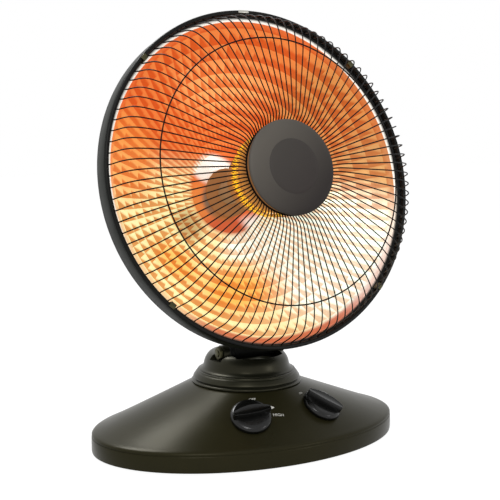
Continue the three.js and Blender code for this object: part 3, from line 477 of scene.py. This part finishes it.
def curve_form(line):
    """The surface of a curve or of a text."""
    item = bpy.data.objects.new("curve_in_work", line)
    bpy.context.scene.collection.objects.link(item)
    bpy.context.view_layer.update()
    mesh = bpy.data.meshes.new_from_object(item.evaluated_get(bpy.context.evaluated_depsgraph_get()))
    bm = bmesh.new()
    bm.from_mesh(mesh)
    bmesh.ops.remove_doubles(bm, verts=bm.verts, dist=1e-7)
    bpy.data.objects.remove(item)
    bpy.data.meshes.remove(mesh)
    return bm


def drawn_wire(points, radius_mm, sides, smooth=False):
    """A round wire along points given in millimetres."""
    line = bpy.data.curves.new("wire_in_work", "CURVE")
    line.dimensions = "3D"
    line.bevel_depth = radius_mm * MM
    line.bevel_resolution = sides // 4 - 1
    line.use_fill_caps = True
    line.resolution_u = 2
    spline = line.splines.new("NURBS" if smooth else "POLY")
    spline.points.add(len(points) - 1)
    for point, (x, y, z) in zip(spline.points, points):
        point.co = (x * MM, y * MM, z * MM, 1)
    if smooth:
        spline.order_u = 3
        spline.use_endpoint_u = True
    return curve_form(line)


def joined(*forms):
    """Several closed forms in one mesh."""
    out = forms[0]
    for form in forms[1:]:
        mesh = as_mesh("part_in_work", form)
        out.from_mesh(mesh)
        bpy.data.meshes.remove(mesh)
    return out


# ---------- base ----------
def made_oval(bm):
    """Narrows a round base to its oval: circular at the slope's top, widest at its edge."""
    for vert in bm.verts:
        radius = vert.co.xy.length / MM
        if radius > SLOPE_TOP_RADIUS:
            vert.co.y *= (SLOPE_TOP_RADIUS + (radius - SLOPE_TOP_RADIUS) * DEPTH_TO_WIDTH) / radius
    return bm


def base_cover():
    outside = [
        (184.9, 2.0), (185.9, 2.4), (186.3, 4.0), (186.4, 12.0), (186.3, 18.4), (186.0, 19.6),
        (185.2, 20.0), (185.2, 20.6), (186.0, 21.0), (186.0, 21.8), (185.0, 23.0), (182.6, 24.2),
        (178.0, 25.6), (170.0, 28.3), (150.0, 35.6), (120.0, 46.9), (90.0, 58.3), (66.0, 67.4),
        (63.4, 68.5),
    ]
    inside = [
        (23.0, 68.5), (23.0, 66.0), (60.0, 65.9), (66.0, 64.0), (120.0, 43.6), (178.0, 21.9), (183.2, 18.0),
        (183.6, 10.0), (183.6, 2.4), (184.0, 2.0),
    ]
    bm = made_oval(spun(outside + inside, 160))
    return piece("base_cover", bm, "base", base_plastic, stands_for=["base_shell"], crease=50)


cover = base_cover()
bpy.context.view_layer.update()
slope = BVHTree.FromObject(cover, bpy.context.evaluated_depsgraph_get())


def slope_frame(node):
    """A knob's frame on the slope, read from its hinge: Z out of the surface, X level."""
    joint = next(j for j in frame["joints"] if j["child"] == node)
    out = Vector(joint["axis"]).normalized()
    level = Vector((-out.y, out.x, 0)).normalized()
    climb = out.cross(level)
    turn = Matrix((level, climb, out)).transposed().to_4x4()
    return Matrix.Translation(joint["pos_m"]) @ turn


HEAT_KNOB = slope_frame("knob_heat")
SWING_KNOB = slope_frame("knob_swing")

BAR_HALF = 21.2  # half the grip bar's length
BAR_FOOT, BAR_RISE = 1.6, 13.8
BAR_DROP = 0.9  # of the bar's top towards its ends
BAR_TAPER = 0.93
CROWN_EDGE, CROWN_DISH = 0.9, 0.55  # the rim left round the bar's dished top, and that top's depth


def grip_bar():
    """The knob's bar, its front edge flatter than its back edge, with a dished top."""
    bar = bmesh.new()
    bmesh.ops.create_grid(bar, x_segments=20, y_segments=2, size=1)
    for vert in bar.verts:
        along = vert.co.x
        vert.co.x = along * BAR_HALF * MM
        back, front = 1.6 + 5.6 * (1 - along**2), 3.0 + 2.6 * (1 - along**2)
        vert.co.y *= (back if vert.co.y > 0 else front) * MM
        vert.co.z = BAR_FOOT * MM
    walls = bmesh.ops.extrude_face_region(bar, geom=bar.faces[:])
    top = [g for g in walls["geom"] if isinstance(g, bmesh.types.BMVert)]
    bmesh.ops.translate(bar, vec=(0, 0, BAR_RISE * MM), verts=top)
    for vert in top:
        vert.co.y *= BAR_TAPER
        vert.co.z -= BAR_DROP * MM * (vert.co.x / (BAR_HALF * MM)) ** 2
    bmesh.ops.recalc_face_normals(bar, faces=bar.faces)
    crown = [f for f in bar.faces if f.normal.z > 0.8]
    bmesh.ops.inset_region(bar, faces=crown, thickness=CROWN_EDGE * MM, depth=-CROWN_DISH * MM,
                           use_even_offset=True)
    return bar


def knob(name, node, place, turn):
    disc = spun([
        (0, 0.8), (21.6, 0.8), (22.4, 1.2), (22.6, 2.0), (22.5, 3.6), (21.9, 5.4), (20.6, 6.7), (18.6, 7.4),
        (15.0, 7.7), (0, 7.8),
    ], 96, closed=False)
    form = carved(disc, eased(turned_about(grip_bar(), turn), 0.6, 3, 40), operation="UNION")
    return piece(name, form, node, knob_plastic, place, [node], crease=32)


knob("heat_knob_cap", "knob_heat", HEAT_KNOB, math.radians(10))
knob("swing_knob_cap", "knob_swing", SWING_KNOB, math.radians(-58))


# ---------- printed marks ----------
PRINT_LIFT = 0.09  # of a print's middle above the slope
PRINT_DEPTH = 0.1


def text_mark(words, size_mm):
    text = bpy.data.curves.new("print_in_work", "FONT")
    text.body = words
    text.size = size_mm * MM
    text.align_x = "CENTER"
    text.align_y = "CENTER"
    text.extrude = PRINT_DEPTH / 2 * MM
    return curve_form(text)


def triangle_mark(size_mm):
    bm = bmesh.new()
    bmesh.ops.create_cone(bm, cap_ends=True, segments=3, radius1=size_mm * MM, radius2=size_mm * MM,
                          depth=PRINT_DEPTH * MM)
    return bm


def printed(name, bm, place, x, y, turn=0.0):
    """A thin print laid on the slope, x and y millimetres from a knob's centre."""
    moved(turned_about(bm, turn), x, y, 0)
    out = (place.to_3x3() @ Vector((0, 0, 1))).normalized()
    for vert in bm.verts:
        lift = vert.co.z
        above = place @ Vector((vert.co.x, vert.co.y, 20 * MM))
        spot = slope.ray_cast(above, -out)[0]
        vert.co = spot + out * (lift + PRINT_LIFT * MM)
    return piece(name, bm, "base", print_paint, crease=60)


printed("print_off", text_mark("OFF", 4.6), HEAT_KNOB, 6.8, 26.0)
printed("print_pointer", triangle_mark(2.7), HEAT_KNOB, 27.1, 14.0, turn=0.6)
printed("print_high", text_mark("HIGH", 5.2), HEAT_KNOB, 32.0, 3.7)
printed("print_swing", text_mark("ON", 3.4), SWING_KNOB, -9.6, 25.2)


# ---------- neck collar and turret ----------
collar = spun([
    (44.0, 69.0), (62.4, 69.0), (63.2, 69.4), (63.5, 70.2), (63.2, 71.2), (62.2, 71.8), (60.9, 72.1),
    (60.4, 72.6), (60.6, 73.2), (61.4, 73.6), (61.7, 74.3), (61.4, 75.3), (60.7, 76.3), (59.8, 77.6),
    (58.7, 79.2), (57.9, 80.2), (57.4, 80.4), (57.3, 80.9), (56.8, 81.1), (56.5, 82.2), (56.2, 82.4),
    (44.0, 82.4),
], 128)
piece("collar", collar, "base", neck_plastic, stands_for=["neck_collar"], crease=50)


def turret_form():
    """A dome with a round-fronted saddle sunk in it, an ear on each side and a pocket outside each ear."""
    dome = spun([
        (17.0, 82.7), (17.0, 71.4), (9.4, 71.4), (9.4, 89.3), (5.5, 89.3), (5.5, 103.9), (34.4, 103.9),
        (39.4, 103.4), (41.6, 102.6), (43.6, 101.3), (46.0, 98.4), (47.2, 96.4), (48.2, 94.1), (49.0, 91.6),
        (49.5, 89.3), (50.2, 87.2), (51.2, 85.5), (52.6, 84.2), (54.0, 83.4), (54.3, 82.9), (53.9, 82.7),
        (46.2, 82.7), (46.2, 89.1), (17.0, 89.1),
    ], 128)
    saddle = carved(box((-SADDLE_HALF, -SADDLE_RADIUS, SADDLE_FLOOR), (SADDLE_HALF, 16, 140)),
                    rod(SADDLE_RADIUS, 90, 142, 96), operation="INTERSECT")
    dome = carved(dome, saddle)
    ears, cuts = [], [moved(rod(TILT_BORE, -60, 60, 32, "X"), 0, PIVOT_Y, PIVOT_Z)]
    for side in (-1, 1):
        low, high = sorted((side * SADDLE_HALF, side * EAR_FACE))
        ears.append(box((low, PIVOT_Y - EAR_RADIUS, SADDLE_FLOOR - 1), (high, PIVOT_Y + EAR_RADIUS, PIVOT_Z)))
        ears.append(moved(rod(EAR_RADIUS, low, high, 48, "X"), 0, PIVOT_Y, PIVOT_Z))
        low, high = sorted((side * EAR_FACE, side * POCKET_END))
        cuts.append(box((low, PIVOT_Y - POCKET_HALF, POCKET_FLOOR), (high, PIVOT_Y + POCKET_HALF, 125)))
    body = carved(carved(dome, *ears, operation="UNION"), *cuts)
    return eased(body, 0.6, 2, 38)


piece("turret_housing", turret_form(), "turret", neck_plastic, stands_for=["turret"],
      crease=32)

# ---------- dish: housing, rim and rear cover ----------
HOUSING_FOCAL = HOUSING_RADIUS**2 / (4 * HOUSING_BOWL)


def housing_height(radius):
    return HOUSING_DEPTH + radius**2 / (4 * HOUSING_FOCAL)


def housing_form():
    radii = [30, 42, 56, 70, 84, 98, 112, 126, 140, 154, 168, 178, HOUSING_RADIUS]
    outside = [(r, housing_height(r)) for r in radii]
    outside += [(186.4, -22.6), (187.3, -20.8), (187.6, -18.5), (187.6, -8.3)]
    inside = [(186.0, -8.3), (186.0, -18.5)]
    inside += [(min(r, HOUSING_RADIUS - 1.0), housing_height(r) + HOUSING_WALL) for r in reversed(radii)]
    vents = []
    for i in range(VENTS):
        vent = eased(box((42, -3, -140), (68, 3, -80)), 2.6, 3, 60)
        vents.append(turned_about(vent, (i + 0.5) / VENTS * 2 * math.pi))
    return carved(spun(outside + inside, 144), *vents)


piece("dish_back", housing_form(), "head", housing_paint, DISH, ["rear_housing"], crease=30)

band = spun([
    (188.4, -21.0), (188.7, -21.3), (189.3, -21.2), (189.6, -20.6), (190.0, -1.0), (189.9, -0.2),
    (188.4, -0.2),
], 192)
piece("rim_band", band, "head", rim_paint, DISH, ["rim_ring"], crease=60)
lip = spun([
    (189.7, -0.1), (189.9, 0.9), (189.2, 2.0), (188.0, 2.4), (186.4, 2.3), (185.4, 1.8), (185.2, 1.0),
    (185.4, 0.3), (186.2, -0.1),
], 192)
piece("rim_lip", lip, "head", lip_paint_painted_shade, DISH, crease=60)
gasket = spun([(183.4, -6.9), (187.3, -6.9), (187.3, -6.0), (183.8, -6.0), (183.4, -6.3)], 144)
piece("rim_gasket", gasket, "head", rubber, DISH, crease=60)

cover_rear = housing_height(37) - 0.9
rear_cap = spun([
    (BORE, -118), (26, -117.6), (31, -117.0), (34, -115.6), (36.4, cover_rear - 2.4), (37, cover_rear - 1.2),
    (37, cover_rear), (34.5, cover_rear), (31.5, -114), (BORE, -115.6),
], 96)
piece("rear_cap", rear_cap, "head", housing_paint, DISH, ["rear_cover"], crease=50)

# ---------- reflector ----------
# Colours of the painted reflection of the element's light in the dish.
TOP_GLOW, LEFT_GLOW, FIRE, GOLD, CREAM, REFLECTED_WHITE, BROWN_ORANGE, TAN, RED, GREYED, BROWN = (
    Vector(tone(code)[:3]) for code in (
        "e6713a", "f0964e", "fa9a60", "f4a648", "f9d9a8", "fffdf4", "cf7a44", "cc8a58", "c8603c", "87705c",
        "a8703f",
    ))
PLAIN_BACK = Vector((0.05, 0.045, 0.04))

# Painted reflections of the element's light, laid one over the other: colour, share, middle, half sizes, turn and
# softness.
DISH_PAINTED_REFLECTIONS = [
    (LEFT_GLOW, 0.85, (-152, 32), (48, 44), 0.2, 0.45),
    (FIRE, 0.8, (-8, 116), (62, 26), 0, 0.6),
    (BROWN_ORANGE, 0.9, (128, 76), (62, 70), 0.5, 0.4),
    (TAN, 0.95, (160, 0), (38, 50), 0, 0.4),
    (REFLECTED_WHITE, 0.95, (100, -92), (84, 74), 0.6, 0.4),
    (GOLD, 0.8, (-95, -82), (34, 20), -0.5, 0.6),
    (GOLD, 0.9, (-22, -118), (54, 26), 0.1, 0.6),
    (REFLECTED_WHITE, 0.9, (24, -62), (44, 18), 0.2, 0.4),
    (BROWN, 0.7, (-60, -38), (20, 18), 0, 0.5),
]
MIDDLE_PAINTED_REFLECTIONS = [
    (REFLECTED_WHITE, 1.0, (-15, 27), (32, 18), -0.3, 0.2),
    (REFLECTED_WHITE, 1.0, (22, -56), (50, 24), 0.3, 0.3),
    (RED, 1.0, (-24, -35), (50, 24), -0.45, 0.25),
    (LEFT_GLOW, 0.8, (-36, -8), (20, 22), 0, 0.5),
]
MIDDLE_INNER, MIDDLE_OUTER = 46, 56  # radii between which the middle's own patches fade


def ramp(value, low, high):
    share = min(1.0, max(0.0, (value - low) / (high - low)))
    return share * share * (3 - 2 * share)


def patch(x, y, centre, size, turn, soft):
    """How far inside a soft-edged oval a point of the dish lies, from 0 to 1."""
    dx, dy = x - centre[0], y - centre[1]
    u = (dx * math.cos(turn) + dy * math.sin(turn)) / size[0]
    v = (-dx * math.sin(turn) + dy * math.cos(turn)) / size[1]
    return 1 - ramp(math.hypot(u, v), 1 - soft, 1 + soft)


def patched(colour, x, y, lights):
    for light, share, *form in lights:
        colour = colour.lerp(light, share * patch(x, y, *form))
    return colour


def painted_dish_glow(x, y):
    """The element's light painted over the dish as a painted reflection: orange at the top, cream to white below,
    gold low on the left.
    """
    radius = math.hypot(x, y)
    colour = patched(CREAM.lerp(TOP_GLOW, ramp(y + 0.1 * x, 0, 48)), x, y, DISH_PAINTED_REFLECTIONS)
    # Painted reflection: a red band along the lower edge. Painted highlight: a thin white line at the sheet's
    # outer edge, fading out below its middle.
    colour = colour.lerp(RED, 0.4 * ramp(radius, 176, 179) * ramp(-y, 20, 120) * ramp(x, -90, -10))
    colour = colour.lerp(RED, 0.85 * ramp(radius, FACET_END - 0.1, 176) * ramp(-y, 125, 165))
    colour = colour.lerp(REFLECTED_WHITE, ramp(radius, 179.7, 180.0) * ramp(y, -90, 0))
    if radius < MIDDLE_OUTER:
        middle = patched(TOP_GLOW, x, y, MIDDLE_PAINTED_REFLECTIONS)
        # Painted reflection of the stem: a grey-brown oval in the smooth middle of the dish.
        painted_stem_reflection = GREYED.lerp(BROWN, ramp(x - y, -20, 20))
        middle = middle.lerp(painted_stem_reflection, patch(x, y, (-9, -9), (25, 23), -0.4, 0.2))
        colour = middle.lerp(colour, ramp(radius, MIDDLE_INNER, MIDDLE_OUTER))
    return colour


def painted_facet_contrast(x, y):
    """How clearly the painted highlight and painted shade on the facets show: most at the left and lower left,
    then at the top.
    """
    if not FACET_START - 0.1 < math.hypot(x, y) < FACET_END + 0.1:
        return 0.0
    share = 0.55 + 0.4 * ramp(-x, -20, 90) * ramp(-y, -60, 20)
    return min(1.0, share + 0.2 * ramp(y, 30, 110))


def pillow(x, y):
    """The rise of an embossed facet, highest at its middle."""
    radius = math.hypot(x, y)
    u = (math.atan2(y, x) * FACET_COLUMNS / (2 * math.pi)) % 1 - 0.5
    v = ((radius - FACET_START) / FACET_STEP) % 1 - 0.5
    return max(0, (1 - 4 * u * u) * (1 - 4 * v * v)) * radius / FACET_END


def reflector_form():
    rows = (FACET_END - FACET_START) // FACET_STEP * FACET_CUTS
    radii = list(range(REFLECTOR_HOLE, FACET_START, 2))
    radii += [FACET_START + FACET_STEP * i / FACET_CUTS for i in range(rows + 1)]
    edge = reflector_height(REFLECTOR_RADIUS)
    front = [(r, reflector_height(r)) for r in radii + [177.5, 179.6, 180.0, REFLECTOR_RADIUS]]
    front += [(183.5, edge + 0.1), (REFLECTOR_FLANGE, edge)]
    back = [(REFLECTOR_FLANGE, edge - REFLECTOR_WALL)]
    back += [(r, reflector_height(r) - REFLECTOR_WALL)
             for r in (REFLECTOR_RADIUS, 150, 120, 90, 60, 40, REFLECTOR_HOLE)]
    bm = spun(front + back, FACET_COLUMNS * FACET_CUTS)
    painted_glow = bm.loops.layers.float_color.new("painted_glow")
    for vert in bm.verts:
        x, y = vert.co.x / MM, vert.co.y / MM
        radius = math.hypot(x, y)
        in_front = vert.co.z / MM > reflector_height(radius) - REFLECTOR_WALL / 2
        if in_front and FACET_START < radius < FACET_END:
            vert.co.z += pillow(x, y) * MM
        # The front skin carries the painted reflection and the facets' painted highlight and shade; the back gets
        # a plain dark colour.
        light = (*painted_dish_glow(x, y), painted_facet_contrast(x, y)) if in_front else (*PLAIN_BACK, 0.0)
        for loop in vert.link_loops:
            loop[painted_glow] = light
    return bm


piece("dish_reflector", reflector_form(), "head", reflector_sheet, DISH, ["reflector"],
      crease=18)

# ---------- guard ----------
GUARD_PATH = [
    (185.2, 0, -1.4), (184.0, 0, -0.4), (182.8, 0, 2.5), (181.0, 0, 10.0), (179.0, 0, 18.0),
    (175.8, 0, 25.5), (171.0, 0, 31.0), (164.5, 0, 35.8), (156.5, 0, 39.6), (145.8, 0, 43.3),
    (136.0, 0, 45.3), (125.0, 0, 47.0), (95.0, 0, 51.2), (72.0, 0, 54.4), (62.0, 0, 55.0), (56.0, 0, 52.0),
    (50.8, 0, 47.6),
]


def ring_wire(radius, height, wire_radius, sides=10):
    section = [(radius + wire_radius * math.cos(a), height + wire_radius * math.sin(a))
               for a in (2 * math.pi * i / sides for i in range(sides))]
    return spun(section, 192)


def guard():
    wire = turned_about(drawn_wire(GUARD_PATH, WIRE_RADIUS, sides=8, smooth=True), math.pi / WIRES)
    bmesh.ops.spin(wire, geom=wire.verts[:] + wire.edges[:] + wire.faces[:], axis=(0, 0, 1), cent=(0, 0, 0),
                   angle=2 * math.pi * (WIRES - 1) / WIRES, steps=WIRES - 1, use_duplicate=True)
    bmesh.ops.recalc_face_normals(wire, faces=wire.faces)
    return joined(wire, ring_wire(185.9, -1.35, 1.0), ring_wire(50.5, 47.5, 1.05))


piece("guard_grille", guard(), "head", guard_paint, DISH, ["guard_wires"], crease=60)
piece("guard_ring", ring_wire(145.8, 41.4, 0.8), "head", guard_paint, DISH,
      ["guard_support_ring"], crease=60)

for place in ("upper_left", "upper_right", "lower_left", "lower_right"):
    softened("guard_clip_" + place, 0.25, "head", dulled_steel)
clasp = moved(box((-6.5, -1.6, -5), (6.5, 1.6, 2.6)), -4, 188.0, 0)
piece("rim_clasp", eased(clasp, 0.3, 2), "head", zinc, DISH)

# ---------- hub cap ----------
cap = spun([
    (0, 57.0), (2, 57.0), (2, 46.4), (6, 46.4), (6, 55.5), (44.4, 55.5), (45.2, 48.9), (46.4, 48.9),
    (50.6, 53.6), (51.6, 54.2), (52.1, 55.0), (51.9, 56.3), (51.2, 57.2), (50.0, 57.9), (48.0, 58.6),
    (45.0, 59.3), (38.0, 59.9), (32.5, 60.3), (30.0, 60.4), (30.0, 58.9), (0, 58.9),
], 128, closed=False)
piece("cap_shell", cap, "head", cap_paint, DISH, ["hub_cap"], crease=50)
disc = spun([
    (0, 59.2), (29.95, 59.2), (29.95, 60.4), (29.0, 60.7), (27.6, 61.2), (26.0, 61.5), (12.0, 61.9),
    (0, 62.0),
], 96, closed=False)
piece("cap_middle", disc, "head", disc_paint_painted_shade, DISH, ["cap_disc"], crease=50)
plate = spun([(2.3, 44.6), (50.5, 44.6), (50.5, 46.1), (2.3, 46.1)], 96)
piece("cap_backing", eased(plate, 0.3, 2), "head", steel_with_painted_glow, DISH, ["hub_plate"])


# ---------- heating element ----------
def cone_radius(height):
    return CONE_REAR_RADIUS + (height - CONE_REAR) / (CONE_FRONT - CONE_REAR) * CONE_SPREAD


def element_form():
    cone = spun([
        (BORE, CONE_REAR), (34.5, CONE_REAR), (CONE_REAR_RADIUS, -25.2), (47.3, 42.6), (47.0, CONE_FRONT),
        (43.6, CONE_FRONT), (31.6, -22), (BORE, -22),
    ], 96)
    lugs = []
    for height, side in ((COIL_REAR, -1), (COIL_REAR + COIL_LENGTH, 1)):
        radius = cone_radius(height)
        near, far = sorted((side * 4.3, side * 8.3))
        lugs.append(box((radius - 2, near, height - 2.2), (radius + 6, far, height + 2.2)))
    return eased(carved(cone, *lugs, operation="UNION"), 0.4, 2, 40)


piece("element_body", element_form(), "head", hot_ceramic, DISH, ["element_cone"])


def wound_element():
    """Fine resistance wire, curled, and the curl wound round the cone."""
    turns, curls_per_turn, steps_per_curl, curl_radius = 4, 96, 8, 1.55
    count = turns * curls_per_turn * steps_per_curl
    points = []
    for i in range(count + 1):
        share = i / count
        height = COIL_REAR + COIL_LENGTH * share
        angle = share * turns * 2 * math.pi
        curl = angle * curls_per_turn
        radius = cone_radius(height) + COIL_GAP + curl_radius * math.cos(curl)
        height += curl_radius * math.sin(curl)
        points.append((radius * math.cos(angle), radius * math.sin(angle), height))
    return drawn_wire(points, COIL_WIRE, sides=4)


piece("hot_winding", wound_element(), "head", resistance_wire, DISH, ["heating_coil"],
      crease=70)

stem = spun([(BORE, -88.3), (14, -88.3), (14, -26.4), (BORE, -26.4)], 64)
piece("stem_tube", eased(stem, 0.5, 2), "head", stem_paint_painted_glow, DISH, ["element_stem"])

# ---------- small parts that keep their solid's form ----------
SMALL_PARTS = [
    ("head_bracket", 1.2, "head", bracket_plastic, "dark_plastic"),
    ("tilt_bolt", 0.5, "turret", dulled_steel, "bright_steel"),
    ("tilt_nut", 0.4, "turret", dulled_steel, "bright_steel"),
    ("cord_gland", 0.5, "base", rubber, "rubber"),
    ("element_nut", 0.3, "head", zinc, "bright_steel"),
    ("element_socket", 0.5, "head", steel_with_painted_glow, "element_ceramic"),
    ("base_plate", 0.4, "base", inner_plastic, "dark_plastic"),
]
for node, width, body, material, slot in SMALL_PARTS:
    softened(node, width, body, material)

FINISHES = {
    "base_plastic": base_plastic, "dark_plastic": inner_plastic, "knob_plastic": knob_plastic,
    "housing_paint": housing_paint, "guard_paint": guard_paint, "reflector_sheet": reflector_sheet,
    "cap_paint": cap_paint, "element_ceramic": ceramic, "glowing_wire": resistance_wire, "bright_steel": zinc,
    "brass": brass, "rubber": rubber,
}
for entry in frame["record"]["subparts"]:
    node = nodes[entry["node"]]
    node.data.materials.clear()
    node.data.materials.append(FINISHES[entry["material_slot"]])


# ---------- floor, light and world ----------
FLOOR_HALF = 6  # metres
FLOOR_DROP = 0.2  # under the feet
FLOOR_SHARE = 0.8  # how much of the seen floor is plain white, the rest being lit and shaded
FLOOR_WHITE = 1.2
WORLD_LIGHT = 0.34  # of the white that is seen


def behind_or_reflected(tree):
    """1 for every ray that looks at the surroundings, 0 for those that carry light to a surface."""
    seen = add(tree, "ShaderNodeLightPath").outputs
    either = sums(tree, "MAXIMUM", seen["Is Camera Ray"], seen["Is Glossy Ray"])
    return sums(tree, "MAXIMUM", either, seen["Is Transmission Ray"])


def floor():
    bm = bmesh.new()
    bmesh.ops.create_grid(bm, x_segments=1, y_segments=1, size=FLOOR_HALF)
    bmesh.ops.translate(bm, vec=(0, 0, -FLOOR_DROP * MM), verts=bm.verts)
    mesh = as_mesh("floor", bm)
    item = bpy.data.objects.new("floor", mesh)
    material = bpy.data.materials.new("floor_white")
    material.use_nodes = True
    tree = material.node_tree
    tree.nodes.clear()
    share = sums(tree, "MULTIPLY", behind_or_reflected(tree), FLOOR_SHARE)
    matt = add(tree, "ShaderNodeBsdfDiffuse", {"Color": (0.86, 0.86, 0.86, 1)})
    white = add(tree, "ShaderNodeEmission", {"Color": (1, 1, 1, 1), "Strength": FLOOR_WHITE})
    mix = add(tree, "ShaderNodeMixShader", {
        "Fac": share, 1: matt.outputs["BSDF"], 2: white.outputs["Emission"],
    })
    add(tree, "ShaderNodeOutputMaterial", {"Surface": mix.outputs["Shader"]})
    mesh.materials.append(material)
    bpy.context.scene.collection.objects.link(item)


def studio_world():
    world = bpy.data.worlds.new("studio")
    world.use_nodes = True
    tree = world.node_tree
    shade = tree.nodes["Background"]
    shade.inputs["Color"].default_value = (1, 1, 1, 1)
    level = add(tree, "ShaderNodeMapRange", {
        "Value": behind_or_reflected(tree), "To Min": WORLD_LIGHT, "To Max": 1.0,
    })
    tree.links.new(level.outputs["Result"], shade.inputs["Strength"])
    bpy.context.scene.world = world


def lamp(name, place, aim, size, power):
    """A rectangle of light, in metres and watts."""
    light = bpy.data.lights.new(name, "AREA")
    light.shape = "RECTANGLE"
    light.size, light.size_y = size
    light.energy = power
    item = bpy.data.objects.new(name, light)
    item.location = place
    item.rotation_mode = "QUATERNION"
    item.rotation_quaternion = (Vector(aim) - Vector(place)).to_track_quat("-Z", "Y")
    bpy.context.scene.collection.objects.link(item)


floor()
studio_world()
lamp("key_light", (-0.9, -1.5, 1.5), (0, 0, 0.1), (0.5, 0.5), 12)
lamp("fill_light", (1.3, -1.9, 0.6), (0, 0, 0.08), (0.35, 0.35), 4)
lamp("rear_light", (-0.3, 0.8, 1.4), (0, 0, 0.1), (0.5, 0.5), 14)

bpy.context.scene.view_settings.view_transform = "Standard"
